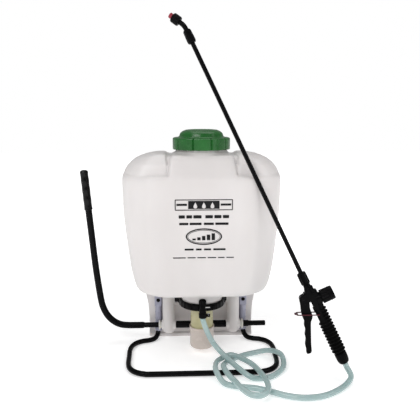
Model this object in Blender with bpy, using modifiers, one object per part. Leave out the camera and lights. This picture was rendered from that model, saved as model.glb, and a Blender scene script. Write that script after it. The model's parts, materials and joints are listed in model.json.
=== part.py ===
"""Backpack sprayer: a moulded tank on a tubular stand, a lever pump under the tank, and a hand lance on a hose.

Metres, +Z up. The label side of the tank faces -Y and the wearer's back side faces +Y. The model's origin is on
the ground at the middle of the sprayer's box without its hose, and the empty "sprayer" under the tank's filler
axis carries every piece.
"""

import math

import bmesh
import bpy
from mathutils import Matrix, Vector

# ---- where the filler axis stands in the model's frame ----
TANK_X = -0.0123
TANK_Y = 0.0094

# ---- general ----
GAP = 0.0003            # clearance that touching pieces keep
TANK_WALL = 0.003

# ---- tank ----
TANK_SEGMENTS = 32
NECK_TOP = 0.4950
SOCKET_R = 0.0465       # moulded socket under the tank that holds the pump
SOCKET_BOTTOM = 0.1275

# ---- skirt and columns that carry the shaft and the stand ----
SKIRT_FRONT = 0.0895
SKIRT_BACK = 0.1120
SKIRT_PLATE = 0.0045
SKIRT_HALF = 0.1290
FOOT_TOP = 0.0100
HOOK_Z = 0.0330         # slots in the low wall for the straps' lower hooks
COLUMN_X = 0.0795
COLUMN_R = 0.0148
COLUMN_BOTTOM = 0.0205

# ---- pump ----
SHAFT_Y = 0.0660
SHAFT_Z = 0.0405
SHAFT_R = 0.0064
BUSH_R = 0.0078
BUSH_END = 0.1045
BARREL_R = 0.0260
CUP_R = 0.0280
CUP_BOTTOM = 0.0140
CUP_RIM = 0.0650
CRANK_RADIUS = 0.0300
CRANK_HALF_SWING = math.radians(34.0)
CRANK_PIN_R = 0.0035
RING_NUT_R = 0.0530

# ---- lever ----
LEVER_R = 0.0080
LEVER_START_X = -0.1400
LEVER_BOLT_X = -0.1530

# ---- stand ----
STAND_R = 0.0060
STAND_LINE_Z = 0.0061   # the tube lies on the ground
SLEEVE_X = 0.1050
SLEEVE_Y = 0.0815
SCREW_Z = 0.1010

# ---- cap ----
CAP_R = 0.0640
CAP_BOTTOM = 0.4780
CAP_SHOULDER = 0.5030
CAP_TOP = 0.5210
CAP_LOBES = 10

# ---- outlet and hose ----
OUTLET_Z = 0.1390
OUTLET_R = 0.0065
OUTLET_Y = -0.0610
OUTLET_END_Z = 0.1110
HOSE_R = 0.0060

# ---- handset and lance, along their own axis from the butt end ----
BUTT = Vector((0.2954, -0.1497, 0.0343))
LANCE_DIRECTION = Vector((-0.4238, 0.1374, 0.8953)).normalized()
HANDSET_SIDE = Vector((0.8971, -0.0705, 0.4362))    # roughly towards the valve cap
GRIP_OFFSET = 0.0030
GRIP_R = 0.0140
VALVE_Z = 0.1495
TRIGGER_PIVOT = (-0.0195, 0.1615)
LATCH_PIVOT = (-0.0020, 0.1185)
LANCE_R = 0.00475
NOZZLE_BEND = math.radians(28.3)

# ---- straps ----
STRAP_X = 0.0620
BACK_Y = 0.1000

# The hose's middle line from the pump outlet to the handset's butt, measured from under the filler axis.
HOSE_ROUTE = [
    (0.0000, -0.0610, 0.1105), (0.0004, -0.0611, 0.1020), (0.0075, -0.0622, 0.0800), (0.0215, -0.0655, 0.0510),
    (0.0400, -0.0800, 0.0325), (0.0590, -0.1070, 0.0235), (0.0770, -0.1360, 0.0180), (0.1024, -0.1535, 0.0072),
    (0.1352, -0.1521, 0.0066), (0.1609, -0.1311, 0.0066), (0.1775, -0.1014, 0.0100), (0.1755, -0.0690, 0.0200),
    (0.1530, -0.0440, 0.0175), (0.1230, -0.0317, 0.0074), (0.0927, -0.0440, 0.0066), (0.0654, -0.0640, 0.0066),
    (0.0479, -0.0933, 0.0115), (0.0422, -0.1258, 0.0208), (0.0485, -0.1583, 0.0205), (0.0610, -0.1900, 0.0196),
    (0.0735, -0.2225, 0.0192), (0.0880, -0.2450, 0.0194), (0.1090, -0.2480, 0.0197), (0.1240, -0.2270, 0.0204),
    (0.1245, -0.1890, 0.0209), (0.1165, -0.1530, 0.0210), (0.1065, -0.1200, 0.0200), (0.0890, -0.0910, 0.0195),
    (0.0628, -0.0715, 0.0215), (0.0368, -0.0800, 0.0150), (0.0262, -0.1103, 0.0186), (0.0255, -0.1435, 0.0190),
    (0.0400, -0.1730, 0.0074), (0.0688, -0.1880, 0.0066), (0.1015, -0.1960, 0.0066), (0.1311, -0.2110, 0.0066),
    (0.1610, -0.2290, 0.0066), (0.1930, -0.2384, 0.0066), (0.2280, -0.2350, 0.0066), (0.2575, -0.2205, 0.0068),
    (0.2870, -0.1980, 0.0092), (0.3058, -0.1735, 0.0148), (0.3032, -0.1514, 0.0250), (0.3003, -0.1506, 0.0311),
    (0.2984, -0.1500, 0.0351),
]


# ------------------------------------------------------------------ helpers

def clear_scene():
    for thing in list(bpy.data.objects):
        bpy.data.objects.remove(thing, do_unlink=True)


def new_collection(name):
    collection = bpy.data.collections.new(name)
    bpy.context.scene.collection.children.link(collection)
    return collection


def material(name, colour, roughness, metallic=0.0):
    made = bpy.data.materials.get(name)
    if made is None:
        made = bpy.data.materials.new(name)
        made.use_nodes = True
        shader = made.node_tree.nodes["Principled BSDF"]
        shader.inputs["Base Color"].default_value = (*colour, 1.0)
        shader.inputs["Roughness"].default_value = roughness
        shader.inputs["Metallic"].default_value = metallic
    return made


def empty(name, parent=None, matrix=Matrix.Identity(4)):
    made = bpy.data.objects.new(name, None)
    PARTS.objects.link(made)
    made.parent = parent
    made.matrix_basis = matrix
    return made


def add(name, data, finish, parent, location=(0, 0, 0), rotation=(0, 0, 0)):
    """Puts mesh or curve data in the scene as a piece, or as a cutter when it has no finish."""
    made = bpy.data.objects.new(name, data)
    if finish is None:
        CUTTERS.objects.link(made)
        made.hide_render = True
        made.display_type = "WIRE"
    else:
        PARTS.objects.link(made)
        data.materials.append(finish)
    made.parent = parent
    made.location = location
    made.rotation_euler = rotation
    return made


def lathe(name, profile, finish, parent, location=(0, 0, 0), rotation=(0, 0, 0), steps=24, closed=False):
    """Turns a profile of (radius, height) points about the piece's own Z. The outer side runs downwards."""
    mesh = bpy.data.meshes.new(name)
    count = len(profile)
    edges = [(i, i + 1) for i in range(count - 1)]
    if closed:
        edges.append((count - 1, 0))
    mesh.from_pydata([(r, 0.0, z) for r, z in profile], edges, [])
    made = add(name, mesh, finish, parent, location, rotation)
    turn = made.modifiers.new("turn", "SCREW")
    turn.axis = "Z"
    turn.steps = steps
    turn.render_steps = steps
    turn.use_merge_vertices = True
    turn.merge_threshold = 0.00001
    turn.use_smooth_shade = True
    return made


def ring(name, inner, outer, bottom, top, finish, parent, location=(0, 0, 0), rotation=(0, 0, 0), steps=24):
    profile = [(outer, top), (outer, bottom), (inner, bottom), (inner, top)]
    return lathe(name, profile, finish, parent, location, rotation, steps, closed=True)


def cylinder(name, radius, bottom, top, finish, parent, location=(0, 0, 0), rotation=(0, 0, 0), steps=24):
    profile = [(0, top), (radius, top), (radius, bottom), (0, bottom)]
    return lathe(name, profile, finish, parent, location, rotation, steps)


def box(name, low, high, finish, parent, bevel=0.0):
    """A block between two corners, with its edges rounded when a bevel is given."""
    mesh = bpy.data.meshes.new(name)
    shape = bmesh.new()
    bmesh.ops.create_cube(shape, size=1.0)
    size = [h - l for l, h in zip(low, high)]
    bmesh.ops.scale(shape, vec=size, verts=shape.verts)
    shape.to_mesh(mesh)
    shape.free()
    centre = [(l + h) / 2 for l, h in zip(low, high)]
    made = add(name, mesh, finish, parent, centre)
    if bevel:
        edge = made.modifiers.new("edge", "BEVEL")
        edge.width = bevel
        edge.segments = 2
        edge.limit_method = "ANGLE"
    return made


def smooth_path(points, steps=4):
    """Points along a smooth curve through the given ones (Catmull-Rom), with its own end points kept."""
    given = [Vector(p) for p in points]
    padded = [given[0] * 2 - given[1], *given, given[-1] * 2 - given[-2]]
    path = []
    for i in range(1, len(padded) - 2):
        a, b, c, d = padded[i - 1:i + 3]
        for step in range(steps):
            t = step / steps
            path.append(0.5 * (2 * b + (c - a) * t + (2 * a - 5 * b + 4 * c - d) * t * t
                               + (3 * b - a - 3 * c + d) * t ** 3))
    path.append(given[-1])
    return path


def tube(name, points, radius, finish, parent, location=(0, 0, 0), rotation=(0, 0, 0), resolution=3):
    """A round bar along a line of points, with filled ends."""
    curve = bpy.data.curves.new(name, "CURVE")
    curve.dimensions = "3D"
    curve.bevel_depth = radius
    curve.bevel_resolution = resolution
    curve.use_fill_caps = True
    spline = curve.splines.new("POLY")
    spline.points.add(len(points) - 1)
    for slot, point in zip(spline.points, points):
        slot.co = (*point, 1.0)
    return add(name, curve, finish, parent, location, rotation)


def prism(name, outline, thickness, finish, parent, location=(0, 0, 0), rotation=(0, 0, 0)):
    """A flat outline in the piece's own XY plane, extruded to a plate that is centred on that plane."""
    curve = bpy.data.curves.new(name, "CURVE")
    curve.dimensions = "2D"
    curve.fill_mode = "BOTH"
    curve.extrude = thickness / 2
    spline = curve.splines.new("POLY")
    spline.points.add(len(outline) - 1)
    for slot, (x, y) in zip(spline.points, outline):
        slot.co = (x, y, 0.0, 1.0)
    spline.use_cyclic_u = True
    return add(name, curve, finish, parent, location, rotation)


def as_mesh(curve_object):
    """Replaces a curve piece with its mesh, its loose caps welded on, so that it can be cut or joined."""
    bpy.context.view_layer.update()
    seen = curve_object.evaluated_get(bpy.context.evaluated_depsgraph_get())
    mesh = bpy.data.meshes.new_from_object(seen)
    shape = bmesh.new()
    shape.from_mesh(mesh)
    bmesh.ops.remove_doubles(shape, verts=shape.verts, dist=0.00001)
    bmesh.ops.recalc_face_normals(shape, faces=shape.faces)
    shape.to_mesh(mesh)
    shape.free()
    name = curve_object.name
    collection = curve_object.users_collection[0]
    curve_object.name = name + ".curve"
    made = bpy.data.objects.new(name, mesh)
    collection.objects.link(made)
    made.parent = curve_object.parent
    made.matrix_basis = curve_object.matrix_basis.copy()
    made.hide_render = curve_object.hide_render
    made.display_type = curve_object.display_type
    bpy.data.objects.remove(curve_object)
    return made


def boolean(target, tool, operation):
    change = target.modifiers.new(operation.lower(), "BOOLEAN")
    change.operation = operation
    change.object = tool
    change.solver = "EXACT"


def cut(target, *tools):
    for tool in tools:
        boolean(target, tool, "DIFFERENCE")


def join(target, *tools):
    for tool in tools:
        boolean(target, tool, "UNION")


def arc(centre, radius, start, end, count):
    """Points on a circle in a plane, from one angle in degrees to another."""
    angles = [math.radians(start + (end - start) * i / count) for i in range(count + 1)]
    return [(centre[0] + radius * math.cos(a), centre[1] + radius * math.sin(a)) for a in angles]


ALONG_X = (0, math.radians(90), 0)          # a turned piece's axis points to +X
ALONG_MINUS_Y = (math.radians(90), 0, 0)    # a turned piece's axis points to -Y; a plate's Y points up
ALONG_Y = (math.radians(-90), 0, 0)


# ------------------------------------------------------------------ tank

def tank_sections(inset):
    """Height, half width, front, back and squareness of the tank's sections, from the pump socket to the neck."""
    shape = [
        (0.1275, 0.0465, -0.0465, 0.0465, 2.0),
        (0.1500, 0.0465, -0.0465, 0.0465, 2.0),
        (0.1540, 0.0560, -0.0560, 0.0560, 2.0),
        (0.1580, 0.1150, -0.0640, 0.0800, 2.6),
        (0.1630, 0.1320, -0.0770, 0.0890, 3.2),
        (0.1720, 0.1450, -0.0850, 0.0950, 3.6),
        (0.1900, 0.1545, -0.0880, 0.0980, 4.4),
        (0.2350, 0.1645, -0.0895, 0.0995, 5.0),
        (0.3000, 0.1715, -0.0900, 0.1000, 5.0),
        (0.3500, 0.1755, -0.0900, 0.1000, 5.0),
        (0.4050, 0.1770, -0.0895, 0.0995, 4.6),
        (0.4220, 0.1715, -0.0850, 0.0950, 4.2),
        (0.4400, 0.1600, -0.0760, 0.0880, 3.8),
        (0.4570, 0.1450, -0.0690, 0.0810, 3.4),
        (0.4670, 0.1240, -0.0640, 0.0750, 3.0),
        (0.4715, 0.1000, -0.0600, 0.0690, 2.6),
        (0.4725, 0.0555, -0.0555, 0.0555, 2.0),
        (0.4950, 0.0555, -0.0555, 0.0555, 2.0),
    ]
    ends = {0.1275, 0.4950}
    sections = []
    for z, half, front, back, power in shape:
        level = z
        if inset and z in ends:
            level = z - inset * 4 if z < 0.3 else z + inset * 4
        elif inset and z < 0.17:
            level = z + inset
        elif inset and z > 0.45:
            level = z - inset
        sections.append((level, half - inset, front + inset, back - inset, power))
    return sections


def section_ring(shape, level, half, front, back, power):
    middle = (front + back) / 2
    depth = (back - front) / 2
    ring_points = []
    for i in range(TANK_SEGMENTS):
        angle = 2 * math.pi * i / TANK_SEGMENTS
        c = math.cos(angle)
        s = math.sin(angle)
        x = half * math.copysign(abs(c) ** (2 / power), c)
        y = middle + depth * math.copysign(abs(s) ** (2 / power), s)
        ring_points.append(shape.verts.new((x, y, level)))
    return ring_points


def tank_loft(name, inset, finish, parent):
    """The tank's outside when inset is 0, or its inside, longer at both ends, as a closed solid."""
    shape = bmesh.new()
    rings = [section_ring(shape, *section) for section in tank_sections(inset)]
    for lower, upper in zip(rings, rings[1:]):
        for i in range(TANK_SEGMENTS):
            j = (i + 1) % TANK_SEGMENTS
            shape.faces.new((lower[i], lower[j], upper[j], upper[i]))
    shape.faces.new(list(reversed(rings[0])))
    shape.faces.new(rings[-1])
    mesh = bpy.data.meshes.new(name)
    shape.to_mesh(mesh)
    shape.free()
    return add(name, mesh, finish, parent)


def skirt_outline():
    """The skirt from the front: two legs that flare up into the tank's sides, and a low wall between them."""
    right = [
        (0.1285, 0.0000), (0.1275, 0.0500), (0.1300, 0.0850), (0.1375, 0.1200), (0.1440, 0.1450),
        (0.1400, 0.1680), (0.0680, 0.1620), (0.0660, 0.1200), (0.0660, 0.0880),
    ]
    left = [(-x, z) for x, z in reversed(right)]
    return right + left


def make_tank(parent):
    """The blow-moulded vessel, open at the neck and at the pump socket."""
    white = material("tank", (0.86, 0.86, 0.85), 0.42)
    shell = tank_loft("tank_shell", 0.0, white, parent)
    cut(shell, tank_loft("tank_inside", TANK_WALL, None, parent))
    outlet_hole = cylinder("outlet_hole", OUTLET_R + GAP, -0.012, 0.012, None, parent,
                           (0, -SOCKET_R, OUTLET_Z), ALONG_Y, steps=20)
    cut(shell, outlet_hole)


def make_skirt(parent):
    """The foot under the vessel: a flared wall, two columns that carry the pump's shaft, and a ledge to stand on."""
    white = material("tank", (0.86, 0.86, 0.85), 0.42)
    plate_y = SKIRT_FRONT + SKIRT_PLATE / 2
    skirt = as_mesh(prism("base_skirt", skirt_outline(), SKIRT_PLATE, white, parent, (0, plate_y, 0),
                          ALONG_MINUS_Y))
    for side in (-1, 1):
        edges = sorted((side * SKIRT_HALF, side * (SKIRT_HALF - SKIRT_PLATE)))
        flank = box("skirt_flank", (edges[0], SKIRT_FRONT + 0.002, 0.0), (edges[1], SKIRT_BACK, 0.1000),
                    None, parent)
        column = lathe("column", [(0, 0.170), (COLUMN_R, 0.170), (COLUMN_R, COLUMN_BOTTOM + 0.007),
                                  (0.0105, COLUMN_BOTTOM + 0.001), (0, COLUMN_BOTTOM)],
                       None, parent, (side * COLUMN_X, SHAFT_Y, 0), steps=20)
        web = box("column_web", (side * COLUMN_X - 0.010, SHAFT_Y, COLUMN_BOTTOM + 0.004),
                  (side * COLUMN_X + 0.010, SKIRT_FRONT + 0.002, 0.165), None, parent)
        join(skirt, flank, column, web)
    foot = box("skirt_foot", (-SKIRT_HALF, SKIRT_FRONT - 0.0035, 0.0), (SKIRT_HALF, SKIRT_BACK, FOOT_TOP), None,
               parent, bevel=0.0015)
    join(skirt, foot)
    cut(skirt, tank_loft("vessel_clearance", -GAP, None, parent))
    for side in (-1, 1):
        core = cylinder("column_core", COLUMN_R - TANK_WALL, 0.062, 0.175, None, parent,
                        (side * COLUMN_X, SHAFT_Y, 0), steps=16)
        bore = cylinder("bush_bore", BUSH_R + GAP, -0.030, 0.030, None, parent,
                        (side * COLUMN_X, SHAFT_Y, SHAFT_Z), ALONG_X, steps=20)
        screw_hole = cylinder("screw_hole", 0.0021, -0.02, 0.02, None, parent,
                              (side * SLEEVE_X, SKIRT_FRONT, SCREW_Z), ALONG_Y, steps=12)
        slot_x = sorted((side * STRAP_X - 0.016, side * STRAP_X + 0.016))
        hook_slot = box("hook_slot", (slot_x[0], SKIRT_FRONT - 0.01, HOOK_Z - 0.0035),
                        (slot_x[1], SKIRT_FRONT + 0.02, HOOK_Z + 0.0035), None, parent)
        cut(skirt, core, bore, screw_hole, hook_slot)


def make_strainer(parent):
    grey = material("strainer", (0.18, 0.19, 0.20), 0.5)
    rim = NECK_TOP + GAP
    profile = [
        (0.0, 0.4275), (0.0480, 0.4275), (0.0495, rim + 0.0015), (0.0548, rim + 0.0015), (0.0548, rim),
        (0.0510, rim), (0.0495, 0.4260), (0.0, 0.4260),
    ]
    basket = lathe("strainer_basket", profile, grey, parent, steps=24)
    windows = 8
    for i in range(windows):
        slit = box("strainer_window", (0.040, -0.013, 0.434), (0.058, 0.013, 0.484), None, parent)
        turn = Matrix.Rotation(2 * math.pi * i / windows, 4, "Z")
        slit.matrix_basis = turn @ Matrix.Translation(slit.location)
        cut(basket, slit)


def cap_outline():
    """The cap's skirt from above: wide lobes with a narrow groove between neighbours."""
    points = []
    per_lobe = 8
    for i in range(CAP_LOBES * per_lobe):
        place = (i % per_lobe) / per_lobe
        angle = math.radians(-90) + 2 * math.pi * (i / per_lobe - 0.5) / CAP_LOBES
        groove = 0.0026 if place == 0 else (0.0008 if place in (1 / per_lobe, 1 - 1 / per_lobe) else 0.0)
        radius = CAP_R - groove
        points.append((radius * math.cos(angle), radius * math.sin(angle)))
    return points


def make_cap(parent):
    """The filler cap, with a lobed skirt, a dome and a hollow that clears the neck's thread."""
    green = material("cap", (0.03, 0.24, 0.06), 0.38)
    height = CAP_SHOULDER - CAP_BOTTOM
    cap = as_mesh(prism("filler_cap", cap_outline(), height, green, parent))
    cap.location = (0, 0, CAP_BOTTOM + height / 2)
    dome = lathe("cap_dome", [(0, CAP_TOP), (0.0300, CAP_TOP - 0.0006), (0.0400, CAP_TOP - 0.0026),
                              (0.0462, CAP_TOP - 0.0070), (0.0482, CAP_SHOULDER - 0.003),
                              (0, CAP_SHOULDER - 0.003)], None, parent, steps=28)
    join(cap, dome)
    ceiling = NECK_TOP + 0.0044
    hollow = lathe("cap_hollow", [(0, CAP_TOP - 0.0030), (0.0380, CAP_TOP - 0.0050), (0.0445, ceiling + 0.009),
                                  (0.0445, ceiling), (0.0580, ceiling), (0.0580, CAP_BOTTOM - 0.005),
                                  (0, CAP_BOTTOM - 0.005)], None, parent, steps=28)
    cut(cap, hollow)


def make_cap_gasket(parent):
    rubber = material("rubber", (0.02, 0.02, 0.02), 0.7)
    low = NECK_TOP + GAP + 0.0015 + GAP
    ring("cap_gasket", 0.0470, 0.0565, low, low + 0.0020, rubber, parent, steps=28)


# ------------------------------------------------------------------ pump

def make_pump(parent):
    """The fixed half of the pump: barrel, ring nut, gasket, pressure chamber, valve ball's seat and piston seal."""
    black = material("black_plastic", (0.012, 0.012, 0.013), 0.4)
    amber = material("pump_barrel", (0.62, 0.58, 0.42), 0.35)
    rubber = material("rubber", (0.02, 0.02, 0.02), 0.7)
    natural = material("natural_plastic", (0.75, 0.74, 0.70), 0.45)
    flange_low = 0.1229
    barrel = lathe("pump_barrel", [
        (0.0265, 0.1580), (0.0265, 0.1248), (0.0455, 0.1248), (0.0455, flange_low), (BARREL_R, flange_low),
        (BARREL_R, 0.0620), (0.0235, 0.0620), (0.0235, 0.1205), (0.0040, 0.1205), (0.0040, 0.1262),
        (0.0215, 0.1262), (0.0215, 0.1580)], amber, parent, steps=24, closed=True)
    outlet_port = cylinder("outlet_port", OUTLET_R + GAP, -0.004, 0.004, None, parent,
                           (0, -0.0240, OUTLET_Z), ALONG_Y, steps=20)
    cut(barrel, outlet_port)
    lathe("pump_ring_nut", [
        (0.0505, 0.1320), (RING_NUT_R, 0.1305), (RING_NUT_R, 0.1205), (0.0505, 0.1185), (0.0290, 0.1185),
        (0.0290, flange_low - GAP), (SOCKET_R + GAP, flange_low - GAP), (SOCKET_R + GAP, 0.1305),
        (SOCKET_R + 0.0012, 0.1320)], black, parent, steps=28, closed=True)
    ring("pump_gasket", 0.0436, 0.0462, 0.1251, SOCKET_BOTTOM - GAP, rubber, parent, steps=24)
    lathe("pressure_chamber", [
        (0, 0.3300), (0.0180, 0.3280), (0.0340, 0.3130), (0.0340, 0.1720), (0.0295, 0.1640), (0.0295, 0.1470),
        (0.0268, 0.1470), (0.0268, 0.1650), (0.0315, 0.1732), (0.0315, 0.3120), (0.0170, 0.3258), (0, 0.3276)],
        natural, parent, steps=28)
    lathe("piston_seal", [(0.0262, 0.0617), (0.0266, 0.0575), (0.0262, 0.0555), (0.0190, 0.0555),
                          (0.0190, 0.0617)], rubber, parent, steps=24, closed=True)


def make_valve_ball(parent):
    steel = material("bright_steel", (0.6, 0.6, 0.6), 0.25, 1.0)
    mesh = bpy.data.meshes.new("valve_ball")
    shape = bmesh.new()
    bmesh.ops.create_uvsphere(shape, u_segments=12, v_segments=8, radius=0.0060)
    shape.to_mesh(mesh)
    shape.free()
    add("valve_ball", mesh, steel, parent)


def make_cup(parent):
    """The moving cup that slides over the fixed barrel, with a slotted lug behind it for the crank pin."""
    pale = material("pump_cup", (0.72, 0.62, 0.56), 0.35)
    cup = lathe("pump_cup", [
        (0, CUP_BOTTOM + 0.0025), (CUP_R - 0.0050, CUP_BOTTOM + 0.0025), (CUP_R - 0.0012, CUP_BOTTOM + 0.006),
        (CUP_R - 0.0012, CUP_RIM), (CUP_R, CUP_RIM), (CUP_R, CUP_BOTTOM + 0.006),
        (CUP_R - 0.0015, CUP_BOTTOM + 0.002), (CUP_R - 0.0050, CUP_BOTTOM), (0, CUP_BOTTOM)],
        pale, parent, steps=28)
    pin_z = SHAFT_Z - CRANK_RADIUS * math.sin(CRANK_HALF_SWING)
    pin_near = SHAFT_Y - CRANK_RADIUS
    pin_far = SHAFT_Y - CRANK_RADIUS * math.cos(CRANK_HALF_SWING)
    room = CRANK_PIN_R + 0.0010
    lug = box("cup_lug", (-0.0115, CUP_R - 0.0022, pin_z - 0.0072),
              (0.0115, pin_far + room + 0.0024, pin_z + 0.0072), None, parent, bevel=0.0012)
    slot = box("lug_slot", (-0.02, pin_near - room, pin_z - room), (0.02, pin_far + room, pin_z + room), None,
               parent)
    hollow = cylinder("cup_hollow", CUP_R - 0.0012, CUP_BOTTOM + 0.006, CUP_RIM + 0.01, None, parent, steps=28)
    join(cup, lug)
    cut(cup, slot, hollow)


def make_shaft(parent):
    """The shaft that the lever turns, its right collar, and the rocker with two crank arms and their pin.
    The parent stands on the shaft's middle, and the arms slope down to the front at rest."""
    steel = material("black_steel", (0.015, 0.015, 0.016), 0.35, 0.6)
    bright = material("bright_steel", (0.6, 0.6, 0.6), 0.25, 1.0)
    cylinder("pump_shaft", SHAFT_R, -0.1740, 0.1600, steel, parent, (0, 0, 0), ALONG_X, steps=24)
    ring("shaft_collar", SHAFT_R + GAP, 0.0077, BUSH_END + GAP, BUSH_END + 0.0135, steel, parent, (0, 0, 0),
         ALONG_X, steps=24)
    rocker = ring("crank_rocker", SHAFT_R + 0.0001, 0.0088, -0.0615, 0.0615, steel, parent, (0, 0, 0), ALONG_X,
                  steps=24)
    down = CRANK_HALF_SWING
    tip = Vector((0, -CRANK_RADIUS * math.cos(down), -CRANK_RADIUS * math.sin(down)))
    for side in (-1, 1):
        outline = arc((0, 0), 0.0075, 90, 270, 8) + arc((CRANK_RADIUS, 0), 0.0058, -90, 90, 8)
        arm = as_mesh(prism("crank_arm", outline, 0.0035, None, parent))
        turn = Matrix.Rotation(math.radians(-90), 4, "Z") @ Matrix.Rotation(math.radians(90), 4, "X")
        arm.matrix_basis = Matrix.Translation((side * 0.0150, 0, 0)) @ Matrix.Rotation(down, 4, "X") @ turn
        join(rocker, arm)
    bore = cylinder("rocker_bore", SHAFT_R + 0.0001, -0.07, 0.07, None, parent, (0, 0, 0), ALONG_X, steps=24)
    pin_hole = cylinder("crank_pin_hole", CRANK_PIN_R + 0.0001, -0.03, 0.03, None, parent, tip, ALONG_X, steps=16)
    cut(rocker, bore, pin_hole)
    cylinder("crank_pin", CRANK_PIN_R, -0.0190, 0.0190, bright, parent, tip, ALONG_X, steps=16)


def make_bushes(parent):
    nylon = material("sleeve_grey", (0.45, 0.45, 0.52), 0.45)
    for side, name in ((-1, "shaft_bush_left"), (1, "shaft_bush_right")):
        ends = sorted((side * 0.0655, side * BUSH_END))
        ring(name, SHAFT_R + 0.0001, BUSH_R, ends[0], ends[1], nylon, parent, (0, SHAFT_Y, SHAFT_Z), ALONG_X,
             steps=24)


def make_lever(parent):
    """The bent lever tube with its bolt and its soft grip, in the shaft's frame."""
    steel = material("black_steel", (0.015, 0.015, 0.016), 0.35, 0.6)
    vinyl = material("grip_vinyl", (0.01, 0.01, 0.011), 0.22)
    bright = material("bright_steel", (0.6, 0.6, 0.6), 0.25, 1.0)
    points = [
        (LEVER_START_X, 0, 0), (-0.160, 0, 0), (-0.180, 0, 0.0004), (-0.1975, 0, 0.0030), (-0.2140, 0, 0.0115),
        (-0.2280, 0, 0.0260), (-0.2380, 0, 0.0460), (-0.2440, 0, 0.0720), (-0.2525, 0, 0.1430),
        (-0.2590, 0, 0.2180), (-0.2650, 0, 0.2905), (-0.2722, 0, 0.3800),
    ]
    lever = as_mesh(tube("lever_tube", smooth_path(points, 2), LEVER_R, steel, parent, resolution=3))
    bore = cylinder("lever_bore", SHAFT_R + 0.0001, LEVER_START_X - 0.036, LEVER_START_X + 0.01, None, parent,
                    (0, 0, 0), ALONG_X, steps=24)
    bolt_hole = cylinder("lever_bolt_hole", 0.0022, -0.02, 0.02, None, parent, (LEVER_BOLT_X, 0, 0), ALONG_Y,
                         steps=12)
    cut(lever, bore, bolt_hole)
    cut(bpy.data.objects["pump_shaft"], bolt_hole)
    lathe("lever_bolt", [(0, 0.0115), (0.0036, 0.0115), (0.0040, 0.0105), (0.0040, LEVER_R + GAP),
                         (0.0020, LEVER_R + GAP), (0.0020, -0.0100), (0, -0.0100)], bright, parent,
          (LEVER_BOLT_X, 0, 0), ALONG_Y, steps=16)
    low = Vector((-0.2650, 0, 0.2905))
    top = Vector((-0.2722, 0, 0.3800))
    lean = math.atan2(low.x - top.x, top.z - low.z)
    length = (top - low).length
    lathe("lever_grip", [(0, length + 0.0050), (0.0070, length + 0.0044), (0.0095, length + 0.0018),
                         (0.0095, 0.0010), (0.0088, 0), (LEVER_R + GAP, 0), (LEVER_R + GAP, length + GAP),
                         (0, length + GAP)], vinyl, parent, low, (0, -lean, 0), steps=24)


# ------------------------------------------------------------------ outlet and hose

def make_outlet(parent):
    black = material("black_plastic", (0.012, 0.012, 0.013), 0.4)
    bright = material("bright_steel", (0.6, 0.6, 0.6), 0.25, 1.0)
    bend = 0.0090
    corner = [(0, OUTLET_Y + bend - bend * math.sin(a), OUTLET_Z - bend + bend * math.cos(a))
              for a in (math.radians(90 * i / 6) for i in range(7))]
    points = [(0, -0.0270, OUTLET_Z), (0, -0.0400, OUTLET_Z), *corner, (0, OUTLET_Y, OUTLET_END_Z)]
    elbow = as_mesh(tube("outlet_elbow", points, OUTLET_R, black, parent, resolution=3))
    passage = as_mesh(tube("outlet_passage", [(0, -0.0200, OUTLET_Z), *points[1:-1], (0, OUTLET_Y, 0.1000)],
                           0.0035, None, parent, resolution=2))
    cut(elbow, passage)
    clamp = ring("hose_clamp", OUTLET_R + GAP, 0.0084, 0.1065, 0.1165, black, parent, (0, OUTLET_Y, 0), steps=24)
    ear = box("clamp_ear", (0.0078, OUTLET_Y - 0.0022, 0.1095), (0.0145, OUTLET_Y + 0.0022, 0.1135), None, parent)
    hole = cylinder("clamp_hole", 0.0013, -0.006, 0.006, None, parent, (0.0120, OUTLET_Y, 0.1115), ALONG_Y,
                    steps=12)
    join(clamp, ear)
    cut(clamp, hole)
    lathe("clamp_screw", [(0, 0.0045), (0.0022, 0.0045), (0.0022, 0.0025), (0.0011, 0.0025),
                          (0.0011, -0.0045), (0, -0.0045)], bright, parent, (0.0120, OUTLET_Y, 0.1115),
          ALONG_MINUS_Y, steps=12)


def make_hose(parent):
    pale = material("hose", (0.55, 0.68, 0.66), 0.25)
    tube("hose", smooth_path(HOSE_ROUTE, 2), HOSE_R, pale, parent, resolution=2)


# ------------------------------------------------------------------ stand

def stand_points(side):
    """The stand's line on one side, from inside its sleeve down to the ground and forward to the front bar."""
    points = [
        (SLEEVE_X, SLEEVE_Y, 0.1180), (SLEEVE_X, SLEEVE_Y, 0.0800), (SLEEVE_X, SLEEVE_Y, 0.0450),
        (0.1055, 0.0800, 0.0250), (0.1085, 0.0725, 0.0115), (0.1150, 0.0620, 0.0063),
        (0.1280, 0.0525, STAND_LINE_Z), (0.1435, 0.0475, STAND_LINE_Z), (0.1575, 0.0370, STAND_LINE_Z),
        (0.1665, 0.0190, STAND_LINE_Z), (0.1695, -0.0050, STAND_LINE_Z), (0.1680, -0.0400, STAND_LINE_Z),
        (0.1665, -0.0720, STAND_LINE_Z), (0.1610, -0.0960, STAND_LINE_Z), (0.1480, -0.1135, STAND_LINE_Z),
        (0.1280, -0.1235, STAND_LINE_Z), (0.1000, -0.1255, STAND_LINE_Z),
    ]
    return [(side * x, y, z) for x, y, z in points]


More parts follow.
